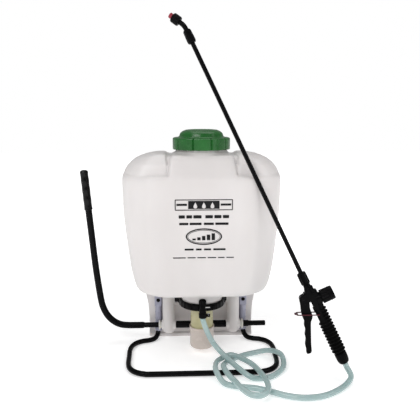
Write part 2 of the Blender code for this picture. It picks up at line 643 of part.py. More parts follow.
def make_stand(parent):
    steel = material("black_steel", (0.015, 0.015, 0.016), 0.35, 0.6)
    grey = material("sleeve_grey", (0.45, 0.45, 0.52), 0.45)
    line = stand_points(-1) + list(reversed(stand_points(1)))
    stand = as_mesh(tube("stand_tube", smooth_path(line, 2), STAND_R, steel, parent, resolution=2))
    for side, name in ((-1, "left"), (1, "right")):
        path = smooth_path(stand_points(side)[:6], 2)
        outside = [Vector((side * SLEEVE_X, SLEEVE_Y, 0.1230)), *path[1:-2]]
        inside = [Vector((side * SLEEVE_X, SLEEVE_Y, 0.1300)), *path[1:]]
        sleeve = as_mesh(tube("stand_sleeve_" + name, outside, 0.0077, grey, parent, resolution=2))
        hollow = as_mesh(tube("sleeve_hollow", inside, STAND_R + GAP * 2, None, parent, resolution=2))
        hole = cylinder("stand_screw_hole", 0.0021, -0.012, 0.012, None, parent,
                        (side * SLEEVE_X, SLEEVE_Y, SCREW_Z), ALONG_Y, steps=12)
        cut(sleeve, hollow, hole)
        cut(stand, hole)
        face = SLEEVE_Y - 0.0077 - GAP
        lathe("stand_screw_" + name, [(0, 0.0026), (0.0024, 0.0026), (0.0038, 0.0012), (0.0038, 0), (0.0018, 0),
                                      (0.0018, -0.0210), (0, -0.0210)], steel, parent,
              (side * SLEEVE_X, face, SCREW_Z), ALONG_MINUS_Y, steps=14)


# ------------------------------------------------------------------ straps

def band(name, line, width, thickness, finish, parent, x):
    """A flat band of constant thickness whose middle line lies in a plane of constant X."""
    path = [Vector((y, z)) for y, z in line]
    left = []
    right = []
    for i, point in enumerate(path):
        before = path[max(i - 1, 0)]
        after = path[min(i + 1, len(path) - 1)]
        along = (after - before).normalized()
        across = Vector((-along.y, along.x)) * (thickness / 2)
        left.append(point + across)
        right.append(point - across)
    outline = [(p.x, p.y) for p in left + list(reversed(right))]
    made = prism(name, outline, width, finish, parent)
    made.matrix_basis = (Matrix.Translation((x, 0, 0)) @ Matrix.Rotation(math.radians(90), 4, "Z")
                         @ Matrix.Rotation(math.radians(90), 4, "X"))
    return made


def make_straps(parent):
    """Two shoulder straps on the wearer's side: a padded upper part, webbing, a buckle and a lower hook each."""
    black = material("black_plastic", (0.012, 0.012, 0.013), 0.4)
    webbing = material("webbing", (0.02, 0.02, 0.022), 0.85)
    padding = material("pad_fabric", (0.025, 0.025, 0.028), 0.9)
    steel = material("bright_steel", (0.6, 0.6, 0.6), 0.25, 1.0)
    bar_z = 0.3900
    bracket = box("strap_bracket", (-0.0900, BACK_Y + GAP, bar_z - 0.016), (0.0900, BACK_Y + 0.0120, bar_z + 0.016),
                  black, parent, bevel=0.0020)
    for side in (-1, 1):
        slot = box("bracket_slot", (side * STRAP_X - 0.022, BACK_Y + 0.0035, bar_z - 0.030),
                   (side * STRAP_X + 0.022, BACK_Y + 0.0080, bar_z + 0.030), None, parent)
        cut(bracket, slot)
    pad_line = [(0.1200, 0.3660), (0.1290, 0.3450), (0.1345, 0.3200), (0.1370, 0.2900), (0.1370, 0.2550),
                (0.1350, 0.2250), (0.1320, 0.2000)]
    upper_line = [(0.1058, 0.4120), (0.1058, 0.3900), (0.1062, 0.3720), (0.1120, 0.3710), (0.1158, 0.3690)]
    lower_line = [(0.1310, 0.1920), (0.1290, 0.1750), (0.1260, 0.1500), (0.1230, 0.1200), (0.1210, 0.0900),
                  (0.1195, 0.0620)]
    for side, name in ((-1, "left"), (1, "right")):
        x = side * STRAP_X
        band("shoulder_pad_" + name, pad_line, 0.0480, 0.0100, padding, parent, x)
        band("upper_webbing_" + name, upper_line, 0.0380, 0.0016, webbing, parent, x)
        band("lower_webbing_" + name, lower_line, 0.0250, 0.0016, webbing, parent, x)
        box("strap_buckle_" + name, (x - 0.0180, 0.1272, 0.1925), (x + 0.0180, 0.1368, 0.1990), black, parent,
            bevel=0.0010)
        hook_line = [(0.1180, 0.0600), (0.1180, 0.0480), (0.1120, 0.0405), (0.1000, 0.0350), (0.0920, HOOK_Z),
                     (0.0868, HOOK_Z + 0.0006), (0.0855, HOOK_Z + 0.0060)]
        tube("strap_hook_" + name, smooth_path([(x, y, z) for y, z in hook_line], 3), 0.0018, steel, parent,
             resolution=2)


# ------------------------------------------------------------------ handset and lance

def handset_frame():
    """X towards the valve cap, Y away from the front, Z along the lance, from the butt end."""
    along = LANCE_DIRECTION
    away = along.cross(HANDSET_SIDE).normalized()
    side = away.cross(along).normalized()
    turn = Matrix((side, away, along)).transposed().to_4x4()
    return Matrix.Translation(BUTT) @ turn


def make_handle(parent):
    """The valve body on its core tube, with the ribbed sleeve and the hose nut that hold the hose."""
    black = material("black_plastic", (0.012, 0.012, 0.013), 0.4)
    rubber = material("rubber", (0.02, 0.02, 0.02), 0.7)
    x = GRIP_OFFSET
    lathe("hose_nut", [(0.0122, 0.0240), (0.0125, 0.0150), (0.0118, 0.0060), (0.0100, 0.0015), (0.0080, 0),
                       (0.0040, 0), (0.0040, 0.0060), (0.0084, 0.0060), (0.0084, 0.0240)], black, parent,
          (x, 0, 0), steps=20, closed=True)
    ribs = 14
    pitch = 0.0061
    bottom = 0.0250
    profile = []
    for i in range(ribs):
        low = bottom + i * pitch
        profile += [(0.0116, low), (GRIP_R, low + 0.0016), (GRIP_R, low + 0.0034), (0.0116, low + 0.0050)]
    outer = list(reversed(profile))
    top = outer[0][1]
    lathe("grip_sleeve", [*outer, (0.0084, bottom), (0.0084, top)], rubber, parent, (x, 0, 0), steps=16,
          closed=True)
    body = box("handle_body", (-0.0065, -0.0095, 0.1290), (0.0150, 0.0095, 0.1700), black, parent, bevel=0.0030)
    core = cylinder("handle_core", 0.0080, 0.0065, 0.1400, None, parent, (x, 0, 0))
    collar = cylinder("latch_collar", 0.0098, 0.1120, 0.1350, None, parent, (x, 0, 0))
    neck = lathe("handle_neck", [(0, 0.2020), (0.0058, 0.2020), (0.0058, 0.1880), (0.0072, 0.1865),
                                 (0.0096, 0.1760), (0.0096, 0.1600), (0, 0.1600)], None, parent, steps=24)
    spigot = cylinder("valve_spigot", 0.0108, 0.0100, 0.0300, None, parent, (0, 0, VALVE_Z), ALONG_X)
    ears = as_mesh(prism("trigger_ears", [(0.000, 0.1480), (0.000, 0.1720), *arc(TRIGGER_PIVOT, 0.0078, 90, 250, 8)],
                         0.0190, None, parent, (0, 0, 0), ALONG_MINUS_Y))
    between = box("ear_gap", (-0.040, -0.0068, 0.1300), (-0.0070, 0.0068, 0.1800), None, parent)
    prong = box("latch_prong", (-0.0088, -0.0030, 0.1270), (-0.0045, 0.0030, 0.1360), None, parent)
    join(body, core, collar, neck, spigot, ears)
    cut(body, between)
    join(body, prong)
    stem_bore = cylinder("stem_bore", 0.0028, -0.020, 0.030, None, parent, (0, 0, VALVE_Z), ALONG_X, steps=16)
    chamber = cylinder("valve_chamber", 0.0080, 0.0080, 0.0350, None, parent, (0, 0, VALVE_Z), ALONG_X)
    inlet = cylinder("water_inlet", 0.0035, 0.0, 0.1450, None, parent, (0.0080, 0, 0), steps=12)
    outlet = cylinder("water_outlet", 0.0035, 0.1530, 0.2100, None, parent, (0, 0, 0), steps=12)
    pin_hole = cylinder("trigger_pin_hole", 0.0022, -0.02, 0.02, None, parent, (TRIGGER_PIVOT[0], 0, TRIGGER_PIVOT[1]),
                        ALONG_Y, steps=14)
    latch_hole = cylinder("latch_hole", 0.0016, -0.02, 0.02, None, parent, (LATCH_PIVOT[0], 0, LATCH_PIVOT[1]),
                          ALONG_Y, steps=12)
    cut(body, stem_bore, chamber, inlet, outlet, pin_hole, latch_hole)
    lathe("trigger_pin", [(0, 0.0108), (0.0034, 0.0105), (0.0034, 0.0095 + GAP), (0.0020, 0.0095 + GAP),
                          (0.0020, -0.0105), (0, -0.0105)], material("bright_steel", (0.6, 0.6, 0.6), 0.25, 1.0),
          parent, (TRIGGER_PIVOT[0], 0, TRIGGER_PIVOT[1]), ALONG_MINUS_Y, steps=16)


def make_valve(parent, stem_parent):
    """The valve's cap, spring, seat washer and stem, along the handset's X."""
    black = material("black_plastic", (0.012, 0.012, 0.013), 0.4)
    rubber = material("rubber", (0.02, 0.02, 0.02), 0.7)
    steel = material("bright_steel", (0.6, 0.6, 0.6), 0.25, 1.0)
    place = (0, 0, VALVE_Z)
    lathe("valve_cap", [(0, 0.0448), (0.0125, 0.0448), (0.0146, 0.0430), (0.0148, 0.0170), (0.0112, 0.0170),
                        (0.0112, 0.0305), (0.0090, 0.0305), (0.0090, 0.0420), (0, 0.0420)], black, parent, place,
          ALONG_X, steps=28)
    ring("valve_seat_washer", 0.0029, 0.0076, 0.0083, 0.0103, rubber, parent, place, ALONG_X, steps=20)
    turns = 4
    per_turn = 9
    start = 0.0136
    rise = 0.0272
    helix = []
    for i in range(turns * per_turn + 1):
        angle = 2 * math.pi * i / per_turn
        helix.append((0.0058 * math.cos(angle), 0.0058 * math.sin(angle), start + rise * i / (turns * per_turn)))
    tube("valve_spring", helix, 0.0006, steel, parent, place, ALONG_X, resolution=1)
    lathe("valve_stem", [(0, 0.0128), (0.0066, 0.0128), (0.0066, 0.0106), (0.0025, 0.0106), (0.0025, -0.0092),
                         (0.0018, -0.0100), (0, -0.0100)], steel, stem_parent, (0, 0, 0), ALONG_X, steps=16)


def trigger_outline():
    """The trigger from the side, relative to its pivot, with finger waves on its front edge."""
    px, pz = TRIGGER_PIVOT
    points = [
        (-0.0150, 0.1660), (-0.0190, 0.1680), (-0.0245, 0.1670), (-0.0270, 0.1625), (-0.0305, 0.1500),
        (-0.0350, 0.1370), (-0.0362, 0.1270), (-0.0368, 0.1180), (-0.0400, 0.1100), (-0.0428, 0.0995),
        (-0.0470, 0.0905), (-0.0508, 0.0800), (-0.0552, 0.0700), (-0.0590, 0.0590), (-0.0618, 0.0520),
        (-0.0560, 0.0495), (-0.0500, 0.0510), (-0.0440, 0.0660), (-0.0345, 0.0880), (-0.0250, 0.1100),
        (-0.0165, 0.1190), (-0.0150, 0.1250), (-0.0140, 0.1380), (-0.0106, 0.1480), (-0.0106, 0.1560),
    ]
    return [(x - px, z - pz) for x, z in points]


def make_trigger(parent):
    black = material("black_plastic", (0.012, 0.012, 0.013), 0.4)
    trigger = as_mesh(prism("trigger_lever", trigger_outline(), 0.0126, black, parent, (0, 0, 0), ALONG_MINUS_Y))
    hole = cylinder("trigger_hole", 0.0022, -0.02, 0.02, None, parent, (0, 0, 0), ALONG_Y, steps=14)
    cut(trigger, hole)


def make_latch(parent):
    """The wire bail that swings over the trigger to hold it squeezed, relative to its pivot."""
    red = material("latch_red", (0.10, 0.012, 0.02), 0.35)
    reach = Vector((-0.0430, 0, 0.0188))
    half = 0.0114
    right = [Vector((0, -0.0070, 0)), Vector((0, -half + 0.0006, 0)), Vector((-0.0006, -half, 0.0003)),
             reach * 0.5 + Vector((0, -half, 0)), reach * 0.90 + Vector((0, -half, 0)),
             reach * 0.98 + Vector((0, -half * 0.88, 0)), reach + Vector((0, -half * 0.6, 0))]
    left = [Vector((p.x, -p.y, p.z)) for p in reversed(right)]
    tube("lock_latch", right + left, 0.0013, red, parent, resolution=2)


def make_lance(parent, nozzle_parent):
    black = material("black_plastic", (0.012, 0.012, 0.013), 0.4)
    steel = material("black_steel", (0.015, 0.015, 0.016), 0.35, 0.6)
    red = material("nozzle_red", (0.35, 0.02, 0.05), 0.35)
    lathe("lance_nut_lower", [(0.0070, 0.2130), (0.0080, 0.2110), (0.0086, 0.1890), (0.0080, 0.1885),
                              (0.0062, 0.1885), (0.0062, 0.2030), (LANCE_R + GAP, 0.2030), (LANCE_R + GAP, 0.2130)],
          black, parent, steps=20, closed=True)
    ring("lance_tube", 0.0034, LANCE_R, 0.2035, 0.7480, steel, parent, steps=16)
    lathe("lance_nut_upper", [(0.0066, 0.7720), (0.0084, 0.7690), (0.0092, 0.7480), (0.0080, 0.7425),
                              (LANCE_R + GAP, 0.7425), (LANCE_R + GAP, 0.7720)], black, parent, steps=20,
          closed=True)
    radius = 0.0300
    start = 0.7740
    bend = [(-radius * (1 - math.cos(NOZZLE_BEND * i / 8)), 0, start + radius * math.sin(NOZZLE_BEND * i / 8))
            for i in range(9)]
    along = Vector((-math.sin(NOZZLE_BEND), 0, math.cos(NOZZLE_BEND)))
    end = Vector(bend[-1])
    elbow = as_mesh(tube("nozzle_elbow", [(0, 0, 0.7484), (0, 0, 0.7600), *bend, end + along * 0.016], 0.0045,
                         black, parent, resolution=3))
    passage = as_mesh(tube("elbow_passage", [(0, 0, 0.7400), (0, 0, 0.7600), *bend, end + along * 0.030], 0.0022,
                           None, parent, resolution=2))
    cut(elbow, passage)
    lathe("nozzle_cap", [(0.0062, 0.0178), (0.0082, 0.0176), (0.0090, 0.0165), (0.0094, 0.0010), (0.0088, 0),
                         (0.0048, 0), (0.0048, 0.0112), (0.0074, 0.0112), (0.0074, 0.0150), (0.0055, 0.0150),
                         (0.0055, 0.0178)], black, nozzle_parent, steps=20, closed=True)
    lathe("nozzle_tip", [(0.0012, 0.0240), (0.0040, 0.0245), (0.0052, 0.0232), (0.0052, 0.0147), (0.0070, 0.0147),
                         (0.0070, 0.0117), (0.0012, 0.0117)], red, nozzle_parent, steps=18, closed=True)


def nozzle_frame():
    """On the elbow's far leg, with Z along the spray."""
    radius = 0.0300
    start = Vector((-radius * (1 - math.cos(NOZZLE_BEND)), 0, 0.7740 + radius * math.sin(NOZZLE_BEND)))
    along = Vector((-math.sin(NOZZLE_BEND), 0, math.cos(NOZZLE_BEND)))
    return Matrix.Translation(start + along * 0.0050) @ Matrix.Rotation(-NOZZLE_BEND, 4, "Y")


# ------------------------------------------------------------------ assembly

clear_scene()
PARTS = new_collection("backpack_sprayer")
CUTTERS = new_collection("cutters")

sprayer = empty("sprayer", None, Matrix.Translation((TANK_X, TANK_Y, 0)))
make_tank(sprayer)
make_skirt(sprayer)
make_strainer(sprayer)

cap_axis = empty("cap_axis", sprayer)
make_cap(cap_axis)
make_cap_gasket(cap_axis)

make_pump(sprayer)
ball_seat = empty("ball_seat", sprayer, Matrix.Translation((0, 0, 0.1310)))
make_valve_ball(ball_seat)
cup_slide = empty("cup_slide", sprayer)
make_cup(cup_slide)
make_bushes(sprayer)
shaft_axis = empty("shaft_axis", sprayer, Matrix.Translation((0, SHAFT_Y, SHAFT_Z)))
make_shaft(shaft_axis)
make_lever(shaft_axis)
make_outlet(sprayer)
make_hose(sprayer)
make_stand(sprayer)
make_straps(sprayer)

handset = empty("handset", sprayer, handset_frame())
make_handle(handset)
stem_slide = empty("stem_slide", handset, Matrix.Translation((0, 0, VALVE_Z)))
make_valve(handset, stem_slide)
trigger_axis = empty("trigger_axis", handset, Matrix.Translation((TRIGGER_PIVOT[0], 0, TRIGGER_PIVOT[1])))
make_trigger(trigger_axis)
latch_axis = empty("latch_axis", handset, Matrix.Translation((LATCH_PIVOT[0], 0, LATCH_PIVOT[1])))
make_latch(latch_axis)
nozzle_axis = empty("nozzle_axis", handset, nozzle_frame())
make_lance(handset, nozzle_axis)
bpy.context.view_layer.update()
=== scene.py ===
"""The looks of the backpack sprayer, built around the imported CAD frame.

Metres, +Z up, in the frame's own coordinates. Shapes under the filler cap are written from the cap's axis, and
those on the handset from its butt end, along the lance.
"""

import math

import bmesh
import bpy
import numpy as np
from mathutils import Matrix, Vector
from mathutils.bvhtree import BVHTree
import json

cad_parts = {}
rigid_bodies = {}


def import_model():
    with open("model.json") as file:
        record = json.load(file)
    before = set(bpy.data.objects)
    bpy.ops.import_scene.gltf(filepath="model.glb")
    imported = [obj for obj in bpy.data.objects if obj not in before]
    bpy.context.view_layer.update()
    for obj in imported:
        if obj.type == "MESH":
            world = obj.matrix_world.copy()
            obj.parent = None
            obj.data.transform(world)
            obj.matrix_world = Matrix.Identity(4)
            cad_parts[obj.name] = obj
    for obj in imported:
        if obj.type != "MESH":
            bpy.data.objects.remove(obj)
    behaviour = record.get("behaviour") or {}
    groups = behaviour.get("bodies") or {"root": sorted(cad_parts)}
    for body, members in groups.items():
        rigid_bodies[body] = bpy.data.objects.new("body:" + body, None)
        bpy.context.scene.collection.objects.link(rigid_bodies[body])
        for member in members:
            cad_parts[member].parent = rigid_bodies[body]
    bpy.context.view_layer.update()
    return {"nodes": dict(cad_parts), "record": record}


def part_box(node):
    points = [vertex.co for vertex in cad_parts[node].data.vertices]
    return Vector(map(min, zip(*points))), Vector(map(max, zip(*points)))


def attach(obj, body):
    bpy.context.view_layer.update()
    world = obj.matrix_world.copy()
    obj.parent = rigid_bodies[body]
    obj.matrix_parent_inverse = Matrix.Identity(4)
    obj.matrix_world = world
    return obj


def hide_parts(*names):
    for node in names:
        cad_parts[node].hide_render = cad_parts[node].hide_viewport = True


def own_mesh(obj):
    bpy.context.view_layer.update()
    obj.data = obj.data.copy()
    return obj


for thing in list(bpy.data.objects):
    bpy.data.objects.remove(thing, do_unlink=True)
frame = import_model()

CAP_LOW, CAP_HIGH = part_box("filler_cap")
AXIS = Vector(((CAP_LOW.x + CAP_HIGH.x) / 2, (CAP_LOW.y + CAP_HIGH.y) / 2, 0.0))
BASE = Matrix.Translation(AXIS)

ALONG_X = Matrix.Rotation(math.radians(90), 4, "Y")
ALONG_Y = Matrix.Rotation(math.radians(-90), 4, "X")
ALONG_MINUS_Y = Matrix.Rotation(math.radians(90), 4, "X")
SIDEWAYS = Matrix.Rotation(math.radians(90), 4, "Z") @ ALONG_MINUS_Y  # a plate's X along +Y, its Y up

# ---- sizes shared with the CAD model ----
SHAFT_Y = 0.0660
SHAFT_Z = 0.0405
SHAFT_R = 0.0064
COLUMN_X = 0.0795
COLUMN_R = 0.0148
SLEEVE_X = 0.1050
SLEEVE_Y = 0.0815
SCREW_Z = 0.1010
STAND_R = 0.0060
STAND_LINE_Z = 0.0061
CRANK_RADIUS = 0.0300
CRANK_HALF_SWING = math.radians(34.0)
OUTLET_Y = -0.0610
OUTLET_Z = 0.1390
HOSE_R = 0.0060
BUTT = Vector((0.2954, -0.1497, 0.0343))
LANCE_DIRECTION = Vector((-0.4238, 0.1374, 0.8953)).normalized()
HANDSET_SIDE = Vector((0.8971, -0.0705, 0.4362))
GRIP_OFFSET = 0.0030
VALVE_Z = 0.1495
TRIGGER_PIVOT = (-0.0195, 0.1615)
LATCH_PIVOT = (-0.0020, 0.1185)
LANCE_R = 0.00475
NOZZLE_BEND = math.radians(28.3)
STRAP_X = 0.0620
BACK_Y = 0.1000
GAP = 0.0003
FLOOR_DROP = 0.0006
TINY = 1e-6
SIDES = ((-1, "left"), (1, "right"))
ACROSS = Vector((1, 0, 0))

# The middle line of a shoulder pad, from its top: (Y, Z) pairs.
PAD_LINE = [(0.1200, 0.3660), (0.1290, 0.3450), (0.1345, 0.3200), (0.1370, 0.2900), (0.1370, 0.2550),
            (0.1350, 0.2250), (0.1320, 0.2000)]


# ------------------------------------------------------------------ small helpers

def at(x, y, z):
    return Matrix.Translation((x, y, z))


def linked(name, data):
    thing = bpy.data.objects.new(name, data)
    bpy.context.scene.collection.objects.link(thing)
    return thing


def put(node, values):
    """Sets a shader node's inputs by name."""
    for name, value in values.items():
        node.inputs[name].default_value = value


def paint(mesh, material):
    mesh.materials.clear()
    mesh.materials.append(material)


# ------------------------------------------------------------------ camera and light

def make_camera():
    data = bpy.data.cameras.new("camera")
    data.lens = 47.14
    data.sensor_width = 36.0
    camera = linked("camera", data)
    camera.location = AXIS + Vector((-0.0407, -1.2255, 0.5650))
    camera.rotation_euler = (math.radians(90 - 10.4), 0, math.radians(-2.8))
    bpy.context.scene.camera = camera


def area_light(name, place, aim, size, power, colour=(1, 1, 1)):
    data = bpy.data.lights.new(name, "AREA")
    data.shape = "RECTANGLE"
    data.size, data.size_y = size
    data.energy = power
    data.color = colour
    lamp = linked(name, data)
    lamp.location = place
    lamp.rotation_euler = (Vector(aim) - Vector(place)).to_track_quat("-Z", "Y").to_euler()


def make_stage():
    world = bpy.data.worlds.new("studio")
    bpy.context.scene.world = world
    world.use_nodes = True
    nodes, links = world.node_tree.nodes, world.node_tree.links
    nodes.clear()
    seen = nodes.new("ShaderNodeBackground")
    put(seen, {"Color": (1, 1, 1, 1), "Strength": 1.0})
    lit = nodes.new("ShaderNodeBackground")
    put(lit, {"Color": (1, 1, 1, 1), "Strength": 0.30})
    path = nodes.new("ShaderNodeLightPath")
    mix = nodes.new("ShaderNodeMixShader")
    out = nodes.new("ShaderNodeOutputWorld")
    links.new(path.outputs["Is Camera Ray"], mix.inputs[0])
    links.new(lit.outputs[0], mix.inputs[1])
    links.new(seen.outputs[0], mix.inputs[2])
    links.new(mix.outputs[0], out.inputs["Surface"])
    mesh = bpy.data.meshes.new("floor")
    reach = 6.0
    mesh.from_pydata([(-reach, -reach, 0), (reach, -reach, 0), (reach, reach, 0), (-reach, reach, 0)], [],
                     [(0, 1, 2, 3)])
    floor = linked("floor", mesh)
    floor.location.z = -FLOOR_DROP
    finish = bpy.data.materials.new("floor")
    finish.use_nodes = True
    shader = finish.node_tree.nodes["Principled BSDF"]
    put(shader, {"Base Color": (0.93, 0.93, 0.93, 1), "Roughness": 0.9, "Specular IOR Level": 0.1,
                 "Emission Color": (1, 1, 1, 1)})
    # The floor glows more with distance, so that its far edge runs into the white world.
    far = finish.node_tree.nodes.new("ShaderNodeVectorMath")
    far.operation = "LENGTH"
    glow = finish.node_tree.nodes.new("ShaderNodeMapRange")
    put(glow, {"From Min": 0.30, "From Max": 1.10, "To Min": 0.42, "To Max": 1.0})
    links = finish.node_tree.links
    links.new(place_of(finish), far.inputs[0])
    links.new(far.outputs["Value"], glow.inputs["Value"])
    links.new(glow.outputs["Result"], shader.inputs["Emission Strength"])
    mesh.materials.append(finish)
    area_light("key", (-1.0, -1.6, 1.7), (0, 0, 0.3), (1.3, 1.0), 20)
    area_light("fill", (1.6, -1.1, 1.1), (0, 0, 0.25), (1.2, 1.2), 9)
    area_light("top", (0.1, 0.3, 2.2), (0, 0, 0.3), (1.8, 1.4), 13)
    bpy.context.scene.view_settings.view_transform = "Standard"


# ------------------------------------------------------------------ materials

def node_material(name, roughness, metallic=0.0, specular=0.5):
    made = bpy.data.materials.new(name)
    made.use_nodes = True
    shader = made.node_tree.nodes["Principled BSDF"]
    put(shader, {"Roughness": roughness, "Metallic": metallic, "Specular IOR Level": specular})
    return made, shader


def place_of(made):
    """Object coordinates."""
    return made.node_tree.nodes.new("ShaderNodeTexCoord").outputs["Object"]


def noise(made, scale, detail=3.0, stretch=None):
    nodes, links = made.node_tree.nodes, made.node_tree.links
    texture = nodes.new("ShaderNodeTexNoise")
    put(texture, {"Scale": scale, "Detail": detail})
    source = place_of(made)
    if stretch:
        mapping = nodes.new("ShaderNodeMapping")
        mapping.inputs["Scale"].default_value = stretch
        links.new(source, mapping.inputs["Vector"])
        source = mapping.outputs["Vector"]
    links.new(source, texture.inputs["Vector"])
    return texture.outputs["Fac"]


def ramp(made, value, stops):
    """A colour ramp of (position, colour) stops over a value."""
    nodes, links = made.node_tree.nodes, made.node_tree.links
    node = nodes.new("ShaderNodeValToRGB")
    elements = node.color_ramp.elements
    while len(elements) < len(stops):
        elements.new(0.5)
    for element, (position, colour) in zip(elements, stops):
        element.position = position
        element.color = (*colour, 1)
    links.new(value, node.inputs["Fac"])
    return node.outputs["Color"]


def greys(low, high):
    """Colour stops from one grey to another."""
    return [(0.3, (low,) * 3), (0.7, (high,) * 3)]


def bumps(made, shader, *layers):
    """Bump layers of (height value, strength, distance in metres), one over the other."""
    nodes, links = made.node_tree.nodes, made.node_tree.links
    normal = None
    for height, strength, distance in layers:
        bump = nodes.new("ShaderNodeBump")
        put(bump, {"Strength": strength, "Distance": distance})
        links.new(height, bump.inputs["Height"])
        if normal is not None:
            links.new(normal, bump.inputs["Normal"])
        normal = bump.outputs["Normal"]
    links.new(normal, shader.inputs["Normal"])


def moulded(name, low, high, roughness, specular=0.5, grain=900.0, depth=0.00008, blotch=18.0, subsurface=0.0):
    """Moulded plastic: a faint blotchy colour, uneven gloss and a fine grain."""
    made, shader = node_material(name, roughness, specular=specular)
    links = made.node_tree.links
    cloud = noise(made, blotch, 4.0)
    links.new(ramp(made, cloud, [(0.3, low), (0.7, high)]), shader.inputs["Base Color"])
    gloss = ramp(made, noise(made, blotch * 3, 3.0), greys(roughness * 0.85, roughness * 1.2))
    links.new(gloss, shader.inputs["Roughness"])
    if subsurface:
        put(shader, {"Subsurface Weight": subsurface, "Subsurface Radius": (1.0, 0.9, 0.8),
                     "Subsurface Scale": 0.004})
    bumps(made, shader, (noise(made, grain, 2.0), 0.35, depth), (noise(made, blotch * 1.6, 2.0), 0.12, 0.001))
    return made


def tank_plastic():
    """Blow-moulded polyethylene: milky, a little uneven, with the mould's parting line up both sides."""
    made, shader = node_material("tank_white", 0.36, specular=0.42)
    nodes, links = made.node_tree.nodes, made.node_tree.links
    cloud = noise(made, 7.0, 5.0, (1.0, 1.0, 0.45))
    links.new(ramp(made, cloud, [(0.25, (0.655, 0.622, 0.614)), (0.55, (0.710, 0.682, 0.675)),
                                 (0.8, (0.760, 0.736, 0.730))]), shader.inputs["Base Color"])
    links.new(ramp(made, noise(made, 30.0, 3.0), greys(0.32, 0.44)),
              shader.inputs["Roughness"])
    put(shader, {"Subsurface Weight": 0.25, "Subsurface Radius": (1.0, 0.92, 0.85),
                 "Subsurface Scale": 0.006})
    split = nodes.new("ShaderNodeSeparateXYZ")
    links.new(place_of(made), split.inputs[0])
    offset = nodes.new("ShaderNodeMath")
    offset.operation = "SUBTRACT"
    offset.inputs[1].default_value = 0.0050
    links.new(split.outputs["Y"], offset.inputs[0])
    distance = nodes.new("ShaderNodeMath")
    distance.operation = "ABSOLUTE"
    links.new(offset.outputs[0], distance.inputs[0])
    line = nodes.new("ShaderNodeMapRange")
    put(line, {"From Min": 0.0, "From Max": 0.0012, "To Min": 1.0, "To Max": 0.0})
    links.new(distance.outputs[0], line.inputs["Value"])
    bumps(made, shader, (noise(made, 700.0, 2.0), 0.25, 0.0001), (noise(made, 26.0, 2.0), 0.10, 0.0015),
          (line.outputs["Result"], 0.8, 0.0006))
    return made


def coated_steel(name, colour, roughness):
    """Powder coat over steel tube, with orange peel and a few rubbed places."""
    made, shader = node_material(name, roughness, 0.0, 0.08)
    links = made.node_tree.links
    rub = noise(made, 45.0, 6.0)
    worn = tuple(c + 0.02 for c in colour)
    links.new(ramp(made, rub, [(0.0, colour), (0.68, colour), (0.80, worn)]), shader.inputs["Base Color"])
    links.new(ramp(made, noise(made, 70.0, 3.0), greys(roughness * 0.8, roughness * 1.3)),
              shader.inputs["Roughness"])
    bumps(made, shader, (noise(made, 420.0, 2.0), 0.30, 0.00012))
    return made


def plated_steel():
    made, shader = node_material("bright_steel", 0.28, 1.0)
    links = made.node_tree.links
    streak = noise(made, 160.0, 3.0, (1.0, 1.0, 9.0))
    links.new(ramp(made, streak, [(0.3, (0.50, 0.50, 0.51)), (0.7, (0.70, 0.70, 0.71))]),
              shader.inputs["Base Color"])
    links.new(ramp(made, streak, greys(0.22, 0.38)), shader.inputs["Roughness"])
    bumps(made, shader, (streak, 0.15, 0.00005))
    return made


def hose_plastic():
    """Milky blue-green PVC, clear enough to be lighter where the light passes through it."""
    made, shader = node_material("hose_pale", 0.22, specular=0.45)
    links = made.node_tree.links
    cloud = noise(made, 24.0, 4.0)
    links.new(ramp(made, cloud, [(0.3, (0.39, 0.54, 0.535)), (0.7, (0.50, 0.64, 0.635))]),
              shader.inputs["Base Color"])
    links.new(ramp(made, noise(made, 60.0, 2.0), greys(0.18, 0.28)), shader.inputs["Roughness"])
    put(shader, {"Transmission Weight": 0.22, "IOR": 1.38, "Subsurface Weight": 0.35,
                 "Subsurface Radius": (0.8, 1.0, 1.0), "Subsurface Scale": 0.004, "Coat Weight": 0.6,
                 "Coat Roughness": 0.12})
    bumps(made, shader, (noise(made, 120.0, 2.0), 0.12, 0.0002))
    return made


def woven(name, shaded_gap, light, thread, ribs=0.0):
    """Woven cloth: warp and weft crossing at the thread's pitch, a soft sheen, and painted shade between
    threads.
    """
    made, shader = node_material(name, 0.85, specular=0.2)
    nodes, links = made.node_tree.nodes, made.node_tree.links
    waves = []
    for axis in ("X", "Z"):
        wave = nodes.new("ShaderNodeTexWave")
        wave.wave_type = "BANDS"
        wave.bands_direction = axis
        put(wave, {"Scale": 0.314 / thread, "Distortion": 0.6, "Detail": 1.0, "Detail Scale": 2.0})
        links.new(place_of(made), wave.inputs["Vector"])
        waves.append(wave.outputs["Fac"])
    weave = nodes.new("ShaderNodeMath")
    weave.operation = "MULTIPLY"
    links.new(waves[0], weave.inputs[0])
    links.new(waves[1], weave.inputs[1])
    shade = nodes.new("ShaderNodeMix")
    shade.data_type = "RGBA"
    shade.blend_type = "MULTIPLY"
    shade.inputs["Factor"].default_value = 0.5
    # Painted shade: the colour darkens towards the gap colour where the weave is low, where the bump sinks it
    # between threads.
    links.new(ramp(made, weave.outputs[0], [(0.0, shaded_gap), (0.8, light)]), shade.inputs[6])
    links.new(ramp(made, noise(made, 22.0, 4.0), greys(0.75, 1.0)), shade.inputs[7])
    links.new(shade.outputs[2], shader.inputs["Base Color"])
    shader.inputs["Sheen Weight"].default_value = 0.25
    layers = [(weave.outputs[0], 0.6, 0.0004)]
    if ribs:
        rib = nodes.new("ShaderNodeTexWave")
        rib.bands_direction = "X"
        rib.inputs["Scale"].default_value = 0.314 / ribs
        links.new(place_of(made), rib.inputs["Vector"])
        layers.append((rib.outputs["Fac"], 0.5, 0.0006))
    bumps(made, shader, *layers)
    return made


